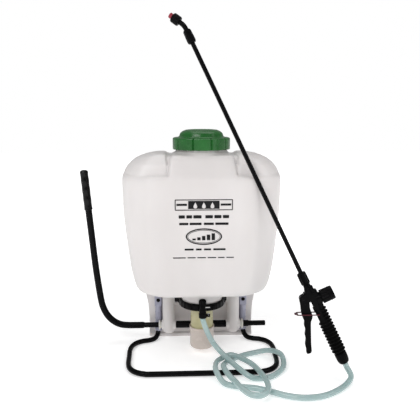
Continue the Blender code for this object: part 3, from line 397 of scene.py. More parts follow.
make_camera()
make_stage()
INK = moulded("label_ink", (0.006, 0.006, 0.007), (0.012, 0.012, 0.013), 0.5, 0.15, grain=1500)
THREAD = moulded("thread", (0.16, 0.16, 0.17), (0.24, 0.24, 0.25), 0.7, grain=2500)
MATERIALS = {
    "tank_white": tank_plastic(),
    "cap_green": moulded("cap_green", (0.009, 0.092, 0.014), (0.014, 0.128, 0.021), 0.24, 0.42, 1100,
                         0.00006, 26),
    "strainer_grey": moulded("strainer_grey", (0.13, 0.14, 0.15), (0.18, 0.19, 0.20), 0.5),
    "black_plastic": moulded("black_plastic", (0.0016, 0.0016, 0.0019), (0.0036, 0.0036, 0.0040), 0.30, 0.05,
                             1300, 0.00008, 40),
    "black_steel": coated_steel("black_steel", (0.0020, 0.0020, 0.0024), 0.22),
    "bright_steel": plated_steel(),
    "rubber": moulded("rubber", (0.0020, 0.0020, 0.0020), (0.0045, 0.0045, 0.0045), 0.5, 0.04, 1600, 0.0001, 50),
    "pump_amber": moulded("pump_amber", (0.46, 0.43, 0.24), (0.54, 0.50, 0.30), 0.25, 0.5, 1200, 0.00004,
                          20, 0.35),
    "pump_cup_pale": moulded("pump_cup_pale", (0.58, 0.50, 0.45), (0.65, 0.57, 0.52), 0.24, 0.5, 1200,
                             0.00004, 16, 0.35),
    "natural_plastic": moulded("natural_plastic", (0.66, 0.65, 0.60), (0.74, 0.73, 0.69), 0.4, subsurface=0.2),
    "sleeve_grey": moulded("sleeve_grey", (0.31, 0.31, 0.40), (0.38, 0.38, 0.47), 0.42, 0.45, 1200, 0.00008, 30),
    "grip_vinyl": moulded("grip_vinyl", (0.0016, 0.0016, 0.0019), (0.0036, 0.0036, 0.0040), 0.12, 0.16, 260,
                          0.00005, 60),
    "hose_pale": hose_plastic(),
    "webbing": woven("webbing", (0.006, 0.006, 0.007), (0.045, 0.045, 0.050), 0.0011, 0.0045),
    "pad_fabric": woven("pad_fabric", (0.010, 0.010, 0.012), (0.060, 0.060, 0.068), 0.0013),
    "latch_red": moulded("latch_red", (0.050, 0.004, 0.010), (0.085, 0.008, 0.016), 0.35, 0.3, 900, 0.00006, 80),
    "nozzle_red": moulded("nozzle_red", (0.21, 0.008, 0.022), (0.29, 0.014, 0.034), 0.33, 0.4, 900, 0.00006, 80),
}
BODY_OF = {node: body for body, nodes in frame["record"]["behaviour"]["bodies"].items() for node in nodes}
SLOT_OF = {part["node"]: part["material_slot"] for part in frame["record"]["subparts"]}
for node, thing in frame["nodes"].items():
    paint(thing.data, MATERIALS[SLOT_OF[node]])


# ------------------------------------------------------------------ mesh helpers

def new_piece(name, mesh, slot, matrix=Matrix.Identity(4), sharp=40.0):
    paint(mesh, slot if isinstance(slot, bpy.types.Material) else MATERIALS[slot])
    mesh.shade_smooth()
    if sharp:
        mesh.set_sharp_from_angle(angle=math.radians(sharp))
    piece = linked(name, mesh)
    piece.matrix_world = BASE @ matrix
    return piece


def settle(piece, *nodes, body=None, slot=None):
    """Makes a piece ride with the body of the CAD nodes that it stands for, or with a given body, and hides
    those nodes.
    """
    for node in nodes:
        body = body or BODY_OF[node]
        slot = slot or SLOT_OF[node]
    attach(piece, body)
    if nodes:
        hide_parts(*nodes)
    return piece


def cleaned(mesh, distance):
    """The mesh with near points merged and its faces turned outward."""
    shape = bmesh.new()
    shape.from_mesh(mesh)
    bmesh.ops.remove_doubles(shape, verts=shape.verts, dist=distance)
    bmesh.ops.recalc_face_normals(shape, faces=shape.faces)
    shape.to_mesh(mesh)
    shape.free()
    return mesh


def mesh_of(name, points, faces):
    mesh = bpy.data.meshes.new(name)
    mesh.from_pydata([tuple(p) for p in points], [], faces)
    mesh.validate()
    return cleaned(mesh, 0.000002)


def joined_mesh(name, meshes):
    shape = bmesh.new()
    for mesh in meshes:
        shape.from_mesh(mesh)
    whole = bpy.data.meshes.new(name)
    shape.to_mesh(whole)
    shape.free()
    return whole


def flat_mesh(name, lines, extrude=0.0, bevel=0.0):
    """A filled outline with holes, extruded to both sides of its own plane, its edges bevelled."""
    curve = bpy.data.curves.new(name, "CURVE")
    curve.dimensions = "2D"
    curve.fill_mode = "BOTH"
    curve.extrude = extrude
    curve.bevel_depth = bevel
    curve.bevel_resolution = 2
    curve.offset = -bevel
    for line in lines:
        spline = curve.splines.new("POLY")
        spline.points.add(len(line) - 1)
        for slot, (x, y) in zip(spline.points, line):
            slot.co = (x, y, 0, 1)
        spline.use_cyclic_u = True
    guide = linked(name + "_line", curve)
    bpy.context.view_layer.update()
    mesh = bpy.data.meshes.new_from_object(guide.evaluated_get(bpy.context.evaluated_depsgraph_get()))
    bpy.data.objects.remove(guide)
    return mesh


def plate_mesh(name, outline, holes, thickness, bevel=0.0):
    """An outline with holes, extruded to a plate centred on its own plane, as a closed mesh."""
    return cleaned(flat_mesh(name, (outline, *holes), thickness / 2 - bevel, bevel), 0.000005)


def loft_mesh(name, rings):
    """A skin over rings of points that all have the same count, closed at both ends."""
    count = len(rings[0])
    points = [p for ring in rings for p in ring]
    faces = []
    for row in range(len(rings) - 1):
        below, above = row * count, (row + 1) * count
        for i in range(count):
            j = (i + 1) % count
            faces.append((below + i, below + j, above + j, above + i))
    faces.append(tuple(range(count - 1, -1, -1)))
    faces.append(tuple(range((len(rings) - 1) * count, len(rings) * count)))
    return mesh_of(name, points, faces)


def rounded(points, radius, steps=4, closed=False):
    """A line of 2D points with its corners rounded. The radius is one number, or one for each point."""
    given = [Vector(p) for p in points]
    radii = radius if isinstance(radius, (list, tuple)) else [radius] * len(given)
    line = []
    for i, point in enumerate(given):
        if not closed and i in (0, len(given) - 1):
            line.append(point)
            continue
        before, after = given[i - 1], given[(i + 1) % len(given)]
        reach = min(radii[i], (before - point).length * 0.49, (after - point).length * 0.49)
        if reach < TINY:
            line.append(point)
            continue
        a = point + (before - point).normalized() * reach
        b = point + (after - point).normalized() * reach
        for step in range(steps + 1):
            t = step / steps
            line.append(a * (1 - t) ** 2 + point * 2 * t * (1 - t) + b * t * t)
    return [tuple(p) for p in line]


def lathe_mesh(name, profile, steps=96, closed=False, wave=None):
    """A profile of (radius, height) turned about Z. wave(angle, radius, height) may change the radius."""
    rings = []
    for k in range(steps):
        angle = 2 * math.pi * k / steps
        ring = []
        for r, z in profile:
            radius = wave(angle, r, z) if wave and r > TINY else r
            ring.append((radius * math.cos(angle), radius * math.sin(angle), z))
        rings.append(ring)
    count = len(profile)
    points = [p for ring in rings for p in ring]
    faces = []
    for k in range(steps):
        near, far = k * count, ((k + 1) % steps) * count
        for i in range(count if closed else count - 1):
            j = (i + 1) % count
            quad = [near + i, far + i, far + j, near + j]
            if profile[i][0] < TINY and profile[j][0] < TINY:
                continue
            if profile[i][0] < TINY:
                quad = [near + i, far + j, near + j]
            elif profile[j][0] < TINY:
                quad = [near + i, far + i, near + j]
            faces.append(tuple(quad))
    return mesh_of(name, points, faces)


def lathe(name, profile, slot, matrix=Matrix.Identity(4), steps=96, closed=False, wave=None, sharp=40.0):
    return new_piece(name, lathe_mesh(name, profile, steps, closed, wave), slot, matrix, sharp)


def smooth_path(points, steps=4):
    """Points along a smooth curve through the given ones (Catmull-Rom)."""
    given = [Vector(p) for p in points]
    padded = [given[0] * 2 - given[1], *given, given[-1] * 2 - given[-2]]
    path = []
    for i in range(1, len(padded) - 2):
        a, b, c, d = padded[i - 1:i + 3]
        for step in range(steps):
            t = step / steps
            path.append(0.5 * (2 * b + (c - a) * t + (2 * a - 5 * b + 4 * c - d) * t * t
                               + (3 * b - a - 3 * c + d) * t ** 3))
    path.append(given[-1])
    return path


def tangent(path, i):
    return (path[min(i + 1, len(path) - 1)] - path[max(i - 1, 0)]).normalized()


def sweep_rings(path, outline, radius_at=None):
    """Rings of an outline carried along a path without twist. radius_at(share) scales them on the way."""
    tangents = [tangent(path, i) for i in range(len(path))]
    start = Vector((0, 1, 0)) if abs(tangents[0].y) < 0.9 else Vector((1, 0, 0))
    side = (start - tangents[0] * start.dot(tangents[0])).normalized()
    rings = []
    for i, (point, along) in enumerate(zip(path, tangents)):
        side = (side - along * side.dot(along)).normalized()
        up = along.cross(side)
        scale = radius_at(i / (len(path) - 1)) if radius_at else 1.0
        rings.append([point + (side * u + up * v) * scale for u, v in outline])
    return rings


def circle(radius, count):
    return [(radius * math.cos(2 * math.pi * i / count), radius * math.sin(2 * math.pi * i / count))
            for i in range(count)]


def tube_mesh(name, path, radius, sides=24, radius_at=None, round_ends=0.0):
    """A round bar along a path, its ends domed by a few shrinking rings."""
    rings = sweep_rings(path, circle(radius, sides), radius_at)
    if round_ends:
        for end, inward in ((0, 1), (-1, -1)):
            centre = path[end]
            outward = (path[end] - path[end + inward]).normalized()
            extra = []
            for step in range(1, 5):
                angle = math.radians(90) * step / 4.6
                grow = outward * round_ends * math.sin(angle)
                extra.append([centre + (Vector(p) - centre) * (1 - (1 - math.cos(angle)) * round_ends / radius)
                              + grow for p in rings[end]])
            rings = list(reversed(extra)) + rings if end == 0 else rings + extra
    return loft_mesh(name, rings)


def tube(name, path, radius, slot, matrix=Matrix.Identity(4), sides=24, radius_at=None, round_ends=0.0):
    return new_piece(name, tube_mesh(name, path, radius, sides, radius_at, round_ends), slot, matrix, 50)


def block_mesh(name, low, high, radius):
    """A block with rounded edges, as a lofted stack of rounded outlines."""
    (x0, y0, z0), (x1, y1, z1) = low, high
    radius = min(radius, (x1 - x0) * 0.49, (y1 - y0) * 0.49, (z1 - z0) * 0.49)
    steps = 3
    angles = [math.radians(90) * step / steps for step in range(steps + 1)]
    bottoms = [(z0 + radius - radius * math.sin(a), radius * (1 - math.cos(a))) for a in reversed(angles)]
    tops = [(z1 - radius + radius * math.sin(a), radius * (1 - math.cos(a))) for a in angles]
    rings = []
    for z, inset in bottoms + tops:
        corners = [(x0 + inset, y0 + inset), (x1 - inset, y0 + inset),
                   (x1 - inset, y1 - inset), (x0 + inset, y1 - inset)]
        outline = rounded(corners, max(radius - inset, radius * 0.15), steps + 1, closed=True)
        rings.append([(x, y, z) for x, y in outline])
    return loft_mesh(name, rings)


def block(name, low, high, radius, slot, matrix=Matrix.Identity(4)):
    return new_piece(name, block_mesh(name, low, high, radius), slot, matrix)


def moved(mesh, matrix):
    mesh.transform(matrix)
    return mesh


def apply_modifiers(piece):
    bpy.context.view_layer.update()
    seen = piece.evaluated_get(bpy.context.evaluated_depsgraph_get())
    mesh = bpy.data.meshes.new_from_object(seen)
    piece.modifiers.clear()
    piece.data = mesh
    return piece


def fused(name, meshes, slot, voxel, smooth=4, matrix=Matrix.Identity(4), cutters=()):
    """Overlapping closed meshes run into one skin with soft fillets, then drilled by cutters."""
    piece = new_piece(name, joined_mesh(name, meshes), slot, matrix, 0)
    remesh = piece.modifiers.new("remesh", "REMESH")
    remesh.mode = "VOXEL"
    remesh.voxel_size = voxel
    remesh.use_smooth_shade = True
    if smooth:
        relax = piece.modifiers.new("relax", "SMOOTH")
        relax.factor = 0.5
        relax.iterations = smooth
    apply_modifiers(piece)
    for cutter in cutters:
        tool = linked("tool", cutter)
        tool.matrix_world = BASE @ matrix
        change = piece.modifiers.new("cut", "BOOLEAN")
        change.operation = "DIFFERENCE"
        change.solver = "MANIFOLD"
        change.object = tool
        apply_modifiers(piece)
        bpy.data.objects.remove(tool)
    paint(piece.data, MATERIALS[slot])
    piece.data.shade_smooth()
    piece.data.set_sharp_from_angle(angle=math.radians(50))
    return piece


# ------------------------------------------------------------------ hose

# The hose's middle line from the pump outlet to the handset's butt, from under the cap's axis.
HOSE_ROUTE = [
    (0.0000, -0.0610, 0.1105), (0.0004, -0.0611, 0.1020), (0.0075, -0.0622, 0.0800), (0.0215, -0.0655, 0.0510),
    (0.0400, -0.0800, 0.0325), (0.0590, -0.1070, 0.0235), (0.0770, -0.1360, 0.0180), (0.1024, -0.1535, 0.0072),
    (0.1352, -0.1521, 0.0066), (0.1609, -0.1311, 0.0066), (0.1775, -0.1014, 0.0100), (0.1755, -0.0690, 0.0200),
    (0.1530, -0.0440, 0.0175), (0.1230, -0.0317, 0.0074), (0.0927, -0.0440, 0.0066), (0.0654, -0.0640, 0.0066),
    (0.0479, -0.0933, 0.0115), (0.0422, -0.1258, 0.0208), (0.0485, -0.1583, 0.0205), (0.0610, -0.1900, 0.0196),
    (0.0735, -0.2225, 0.0192), (0.0880, -0.2450, 0.0194), (0.1090, -0.2480, 0.0197), (0.1240, -0.2270, 0.0204),
    (0.1245, -0.1890, 0.0209), (0.1165, -0.1530, 0.0210), (0.1065, -0.1200, 0.0200), (0.0890, -0.0910, 0.0195),
    (0.0628, -0.0715, 0.0215), (0.0368, -0.0800, 0.0150), (0.0262, -0.1103, 0.0186), (0.0255, -0.1435, 0.0190),
    (0.0400, -0.1730, 0.0074), (0.0688, -0.1880, 0.0066), (0.1015, -0.1960, 0.0066), (0.1311, -0.2110, 0.0066),
    (0.1610, -0.2290, 0.0066), (0.1930, -0.2384, 0.0066), (0.2280, -0.2350, 0.0066), (0.2575, -0.2205, 0.0068),
    (0.2870, -0.1980, 0.0092), (0.3058, -0.1735, 0.0148), (0.3032, -0.1514, 0.0250), (0.3003, -0.1506, 0.0311),
    (0.2984, -0.1500, 0.0351),
]


def make_hose():
    path = smooth_path(HOSE_ROUTE, 8)
    curve = bpy.data.curves.new("hose_line", "CURVE")
    curve.dimensions = "3D"
    curve.bevel_depth = HOSE_R
    curve.bevel_resolution = 6
    curve.use_fill_caps = True
    spline = curve.splines.new("POLY")
    spline.points.add(len(path) - 1)
    for slot, point in zip(spline.points, path):
        slot.co = (*(point + AXIS), 1.0)
    spline.use_smooth = True
    curve.materials.append(MATERIALS["hose_pale"])
    hose = linked("pale_hose", curve)
    settle(hose, "hose")


make_hose()


# ------------------------------------------------------------------ tank

def body_outline(half, front, back):
    """The tank from above: a flat front, a slanted corner, a flat side and a rounder back."""
    depth = back - front
    right = [(0.650 * half, front), (0.905 * half, front + 0.135 * depth), (half, front + 0.33 * depth),
             (half, back - 0.30 * depth), (0.90 * half, back - 0.10 * depth), (0.72 * half, back)]
    corners = right + [(-x, y) for x, y in reversed(right)]
    radii = [0.012, 0.022, 0.030, 0.030, 0.022, 0.020]
    return rounded(corners, radii + list(reversed(radii)), 5, closed=True)


def stack(name, levels, outline):
    return loft_mesh(name, [[(x, y, z) for x, y in outline(*sizes)] for z, *sizes in levels])


def hump_outline(inner, outer, front, back):
    """A shoulder hump from above, its outer corners slanted like the body's."""
    wide = min(1.0, (outer - inner) / 0.090)
    deep = min(1.0, (back - front) / 0.150)
    corners = [(inner, front), (outer - 0.038 * wide, front), (outer - 0.018 * wide, front + 0.018 * deep),
               (outer, front + 0.050 * deep), (outer, back - 0.048 * deep),
               (outer - 0.018 * wide, back - 0.016 * deep), (outer - 0.042 * wide, back), (inner, back)]
    radii = [0.006, 0.014, 0.020, 0.026, 0.026, 0.020, 0.014, 0.010]
    return rounded(corners, [r * min(wide, deep) for r in radii], 5, closed=True)


def make_tank_body():
    main = stack("main", [
        (0.1590, 0.1180, -0.0690, 0.0800), (0.1605, 0.1330, -0.0785, 0.0880), (0.1650, 0.1455, -0.0845, 0.0940),
        (0.1720, 0.1505, -0.0872, 0.0965), (0.1830, 0.1540, -0.0882, 0.0975), (0.1980, 0.1578, -0.0888, 0.0983),
        (0.2200, 0.1618, -0.0893, 0.0990), (0.2500, 0.1657, -0.0897, 0.0995), (0.2980, 0.1712, -0.0900, 0.1000),
        (0.3400, 0.1745, -0.0900, 0.1000), (0.3800, 0.1758, -0.0900, 0.1000), (0.4050, 0.1760, -0.0898, 0.0998),
        (0.4150, 0.1756, -0.0893, 0.0990), (0.4215, 0.1746, -0.0880, 0.0975), (0.4250, 0.1730, -0.0850, 0.0940),
        (0.4262, 0.1690, -0.0800, 0.0880)], body_outline)
    pieces = [main]
    hump = [
        (0.3900, 0.0600, 0.1640, -0.0700, 0.0900), (0.4210, 0.0700, 0.1732, -0.0755, 0.0915),
        (0.4300, 0.0735, 0.1708, -0.0745, 0.0895), (0.4360, 0.0745, 0.1682, -0.0734, 0.0878),
        (0.4430, 0.0752, 0.1640, -0.0718, 0.0855), (0.4500, 0.0760, 0.1575, -0.0700, 0.0830),
        (0.4545, 0.0765, 0.1525, -0.0655, 0.0805), (0.4590, 0.0770, 0.1462, -0.0600, 0.0780),
        (0.4640, 0.0775, 0.1355, -0.0530, 0.0740), (0.4675, 0.0785, 0.1230, -0.0465, 0.0690),
        (0.4700, 0.0820, 0.1090, -0.0400, 0.0630)]
    pieces.append(stack("hump_right", hump, hump_outline))
    left = stack("hump_left", hump, hump_outline)
    left.transform(Matrix.Scale(-1, 4, (1, 0, 0)))
    left.flip_normals()
    pieces.append(left)

    def centre_outline(half, front, back):
        corners = [(-half, front), (half, front), (half, back), (-half, back)]
        return rounded(corners, [0.007, 0.007, 0.02, 0.02], 5, closed=True)

    pieces.append(stack("centre_block", [
        (0.3900, 0.0720, -0.0880, 0.0900), (0.4200, 0.0735, -0.0888, 0.0880), (0.4250, 0.0725, -0.0874, 0.0870),
        (0.4450, 0.0705, -0.0772, 0.0830), (0.4600, 0.0690, -0.0690, 0.0780), (0.4650, 0.0670, -0.0655, 0.0750),
        (0.4685, 0.0630, -0.0610, 0.0700)], centre_outline))
    pieces.append(stack("neck_plateau", [
        (0.4000, 0.0950, -0.0680, 0.0760), (0.4320, 0.0950, -0.0670, 0.0760), (0.4450, 0.0950, -0.0635, 0.0760),
        (0.4540, 0.0950, -0.0545, 0.0750), (0.4600, 0.0930, -0.0460, 0.0740), (0.4650, 0.0900, -0.0360, 0.0700)],
        centre_outline))
    pieces.append(lathe_mesh("neck", rounded([
        (0.0, 0.4950), (0.0555, 0.4950), (0.0555, 0.4760), (0.0625, 0.4690), (0.0660, 0.4600), (0.0, 0.4600)],
        0.0012), 96))
    pieces.append(lathe_mesh("socket", rounded([
        (0.0, 0.1700), (0.0700, 0.1700), (0.0665, 0.1560), (0.0520, 0.1480), (0.0478, 0.1420), (0.0465, 0.1275),
        (0.0, 0.1275)], 0.004), 96))
    mouth = lathe_mesh("mouth", [(0.0, 0.5100), (0.0548, 0.5100), (0.0548, 0.4949), (0.0514, 0.4949),
                                 (0.0498, 0.4230), (0.0, 0.4230)], 72)
    pump_room = lathe_mesh("pump_room", [(0.0, 0.1650), (0.0270, 0.1650), (0.0270, 0.1250), (0.0, 0.1250)], 60)
    tank = fused("tank_body", pieces, "tank_white", 0.0024, 5, cutters=(mouth, pump_room))
    hollow_back(tank)
    return settle(tank, "tank_shell")


def hollow_back(tank):
    """The wearer's side: a shallow hollow for the back, crossed by two grooves."""
    depth, groove_depth, groove_width = 0.0055, 0.0028, 0.0040
    mesh = tank.data
    points = np.empty(len(mesh.vertices) * 3)
    mesh.vertices.foreach_get("co", points)
    points = points.reshape(-1, 3)
    x, y, z = points.T
    behind = np.clip((y - 0.070) / 0.022, 0, 1)
    across = np.clip(1 - (np.abs(x) / 0.118) ** 4, 0, 1)
    along = np.clip((z - 0.185) / 0.035, 0, 1) * np.clip((0.352 - z) / 0.025, 0, 1)
    along = along * along * (3 - 2 * along)
    points[:, 1] -= behind * across * along * depth
    for middle in (0.230, 0.305):
        groove = np.exp(-((z - middle) / groove_width) ** 2) * np.clip((0.100 - np.abs(x)) / 0.010, 0, 1)
        points[:, 1] -= behind * groove * groove_depth
    mesh.vertices.foreach_set("co", points.ravel())
    mesh.update()


def make_skirt():
    """The feet of the tank: a flared wall, two columns for the shaft, and a ledge below."""
    pieces = []
    right = [(0.1285, 0.0010), (0.1275, 0.0500), (0.1295, 0.0850), (0.1365, 0.1200), (0.1450, 0.1500),
             (0.1400, 0.1740), (0.0640, 0.1740), (0.0655, 0.1200), (0.0650, 0.0880)]
    corners = right + [(-x, z) for x, z in reversed(right)]
    radii = [0.004, 0.03, 0.03, 0.03, 0.01, 0.01, 0.012, 0.02, 0.004]
    outline = rounded(corners, radii + list(reversed(radii)), 5, closed=True)
    front, back = 0.0893, 0.0942
    pieces.append(loft_mesh("wall", [[(x, y, z) for x, z in outline] for y in (front, back)]))
    pieces.append(block_mesh("ledge", (-0.1290, 0.0855, 0.0), (0.1290, 0.1120, 0.0102), 0.0018))
    pieces.append(block_mesh("bead", (-0.0660, 0.0870, 0.0835), (0.0660, 0.0960, 0.0890), 0.0018))
    for side in (-1, 1):
        x0, x1 = sorted((side * 0.1293, side * 0.1252))
        flank = [(x0, 0.0900), (x1, 0.0900), (x1, 0.1120), (x0, 0.1120)]
        levels = ((0.0, 0.0, 0.0), (0.050, -0.0010, 0.0), (0.085, 0.0010, 0.0), (0.120, 0.0080, -0.004),
                  (0.150, 0.0165, -0.010), (0.172, 0.0130, -0.016))
        rings = [[(x + side * shift, y + (depth if y > 0.1 else 0.0), z) for x, y in flank]
                 for z, shift, depth in levels]
        pieces.append(loft_mesh("flank", rings))
        column = lathe_mesh("column", rounded([
            (0.0, 0.1750), (0.0172, 0.1750), (0.0160, 0.1400), (COLUMN_R, 0.1200), (COLUMN_R, 0.0275),
            (0.0110, 0.0212), (0.0, 0.0205)], 0.004), 64)
        pieces.append(moved(column, at(side * COLUMN_X, SHAFT_Y, 0)))
        pieces.append(block_mesh("web", (side * COLUMN_X - 0.0085, SHAFT_Y, 0.026),
                                 (side * COLUMN_X + 0.0085, 0.0915, 0.170), 0.002))
        collar = lathe_mesh("boss", rounded([(0.0, 0.0175), (0.0118, 0.0175), (0.0118, -0.0175), (0.0, -0.0175)],
                                            0.0015), 48)
        pieces.append(moved(collar, at(side * COLUMN_X, SHAFT_Y, SHAFT_Z) @ ALONG_X))
        for level in (0.060, 0.088):
            pieces.append(block_mesh("rib", (min(side * 0.092, side * 0.128), 0.0935, level - 0.0011),
                                     (max(side * 0.092, side * 0.128), 0.1080, level + 0.0011), 0.0008))
    bore = moved(lathe_mesh("bore", [(0, 0.12), (0.0080, 0.12), (0.0080, -0.12), (0, -0.12)], 48),
                 at(0, SHAFT_Y, SHAFT_Z) @ ALONG_X)
    skirt = fused("tank_skirt", pieces, "tank_white", 0.00125, 3, cutters=(bore,))
    settle(skirt, "base_skirt")


tank_body = make_tank_body()
make_skirt()


# ------------------------------------------------------------------ printed panel

def decal(name, outline, holes=()):
    """A thin flat print on the tank's front, its points dropped onto the moulding."""
    lift, longest, thickness, wall_y = 0.00025, 0.006, 0.0002, -0.0900
    shape = bmesh.new()
    shape.from_mesh(flat_mesh(name, (outline, *holes)))
    bmesh.ops.triangulate(shape, faces=shape.faces)
    for _ in range(3):
        long_edges = [e for e in shape.edges if e.calc_length() > longest]
        if long_edges:
            bmesh.ops.subdivide_edges(shape, edges=long_edges, cuts=1)
            bmesh.ops.triangulate(shape, faces=shape.faces)
    for vert in shape.verts:
        x, z = vert.co.x, vert.co.y
        hit = TANK_SKIN.ray_cast(Vector((x, -0.3, z)), Vector((0, 1, 0)))[0]
        vert.co = (x, (hit.y if hit else wall_y) - lift, z)
    bmesh.ops.remove_doubles(shape, verts=shape.verts, dist=0.00001)
    solid = bpy.data.meshes.new(name)
    shape.to_mesh(solid)
    shape.free()
    piece = new_piece(name, solid, INK, sharp=0)
    thick = piece.modifiers.new("thick", "SOLIDIFY")
    thick.thickness = thickness
    thick.offset = 0.0
    apply_modifiers(piece)
    paint(piece.data, INK)
    settle(piece, body="tank", slot="tank_white")


def bar(x0, x1, z0, z1, radius=0.0005):
    return rounded([(x0, z0), (x1, z0), (x1, z1), (x0, z1)], radius, 3, closed=True)


def oval(x, z, half_x, half_z, count=64):
    return [(x + half_x * math.cos(2 * math.pi * i / count), z + half_z * math.sin(2 * math.pi * i / count))
            for i in range(count)]


def stadium(x, z, half_x, half_z, count=16):
    right = [(x + half_x - half_z + half_z * math.cos(a), z + half_z * math.sin(a))
             for a in (math.radians(-90 + 180 * i / count) for i in range(count + 1))]
    left = [(x - half_x + half_z + half_z * math.cos(a), z + half_z * math.sin(a))
            for a in (math.radians(90 + 180 * i / count) for i in range(count + 1))]
    return right + left


def drop(x, z, size, count=28):
    """A water drop that points up."""
    outline = []
    for i in range(count):
        t = 2 * math.pi * i / count
        outline.append((x + size * math.sin(t) * math.sin(t / 2) ** 1.6,
                        z - size * math.cos(math.pi + t) * 1.15))
    return outline


def make_print():
    """A generic printed panel: a banner with drops, rows of plain bars, and a frame round level bars."""
    middle = 0.0020
    banner = bar(middle - 0.0610, middle + 0.0610, 0.3556, 0.3790, 0.0014)
    inner = bar(middle - 0.0592, middle + 0.0592, 0.3574, 0.3772, 0.0008)
    decal("print_banner_frame", banner, [list(reversed(inner))])
    holes = [list(reversed(drop(middle + x, 0.3664, 0.0058))) for x in (-0.018, 0.0, 0.018)]
    decal("print_banner", bar(middle - 0.0330, middle + 0.0330, 0.3588, 0.3758, 0.0010), holes)
    for side, start in ((-1, -0.0575), (1, 0.0355)):
        decal("print_banner_bar_%d" % side, bar(middle + start, middle + start + 0.0220, 0.3655, 0.3700, 0.0006))
    rows = [(0.3420, 0.0068, [(-0.053, -0.040), (-0.037, -0.025), (-0.022, -0.005), (0.003, 0.019),
                              (0.022, 0.037), (0.040, 0.053)]),
            (0.3268, 0.0050, [(-0.052, -0.033), (-0.030, -0.005), (0.000, 0.021), (0.024, 0.052)]),
            (0.2712, 0.0040, [(-0.041, -0.022), (-0.017, -0.005), (0.000, 0.015), (0.020, 0.046)]),
            (0.2530, 0.0022, [(-0.066, -0.039), (-0.035, -0.018), (-0.014, 0.004), (0.008, 0.026),
                              (0.030, 0.044), (0.048, 0.064)])]
    for r, (z, height, spans) in enumerate(rows):
        for i, (x0, x1) in enumerate(spans):
            outline = bar(middle + x0, middle + x1, z - height / 2, z + height / 2, height * 0.2)
            decal(f"print_row_{r}_{i}", outline)
    centre = 0.2990
    for name, half_x, half_z, wall in (("outer", 0.0385, 0.0180, 0.0026), ("inner", 0.0348, 0.0143, 0.0010)):
        decal("print_frame_" + name, oval(middle, centre, half_x, half_z),
              [list(reversed(oval(middle, centre, half_x - wall, half_z - wall)))])
    for i in range(5):
        left = middle - 0.0245 + 0.0102 * i
        outline = bar(left, left + 0.0072, centre - 0.0078, centre - 0.0040 + 0.0028 * i, 0.0008)
        decal(f"print_level_{i}", outline)


TANK_SKIN = BVHTree.FromObject(tank_body, bpy.context.evaluated_depsgraph_get())
make_print()


# ------------------------------------------------------------------ filler cap

def make_cap():
    """A screw cap: a lobed skirt with narrow grooves, a sloped shoulder, and a dome with a step round it."""
    lobes = 10

    def grip(angle, r, z):
        if r < 0.0600 or z > 0.5036 or z < 0.4776:
            return r
        turn = (angle + math.radians(90)) * lobes / (2 * math.pi) + 0.5
        near = abs(turn - round(turn)) / lobes * 2 * math.pi * 0.064
        groove = math.exp(-(near / 0.0017) ** 4) * 0.0030
        crown = 0.0006 * (1 - math.cos(2 * math.pi * (turn % 1.0))) / 2
        return r - groove + crown - 0.0006

    outside = rounded([
        (0.0, 0.5196), (0.0250, 0.5196), (0.0262, 0.5210), (0.0345, 0.5203), (0.0420, 0.5172),
        (0.0468, 0.5130), (0.0492, 0.5062), (0.0530, 0.5044), (0.0608, 0.5036), (0.0640, 0.5022),
        (0.0640, 0.4990), (0.0640, 0.4900), (0.0640, 0.4830), (0.0640, 0.4790), (0.0634, 0.4781),
        (0.0590, 0.4781)], 0.0014, 4)
    inside = [(0.0582, 0.4790), (0.0582, 0.4990), (0.0450, 0.4998), (0.0448, 0.5085), (0.0380, 0.5150),
              (0.0, 0.5168)]
    cap = lathe("cap", outside + inside, "cap_green", steps=360, wave=grip, sharp=42)
    settle(cap, "filler_cap")


# ------------------------------------------------------------------ pump

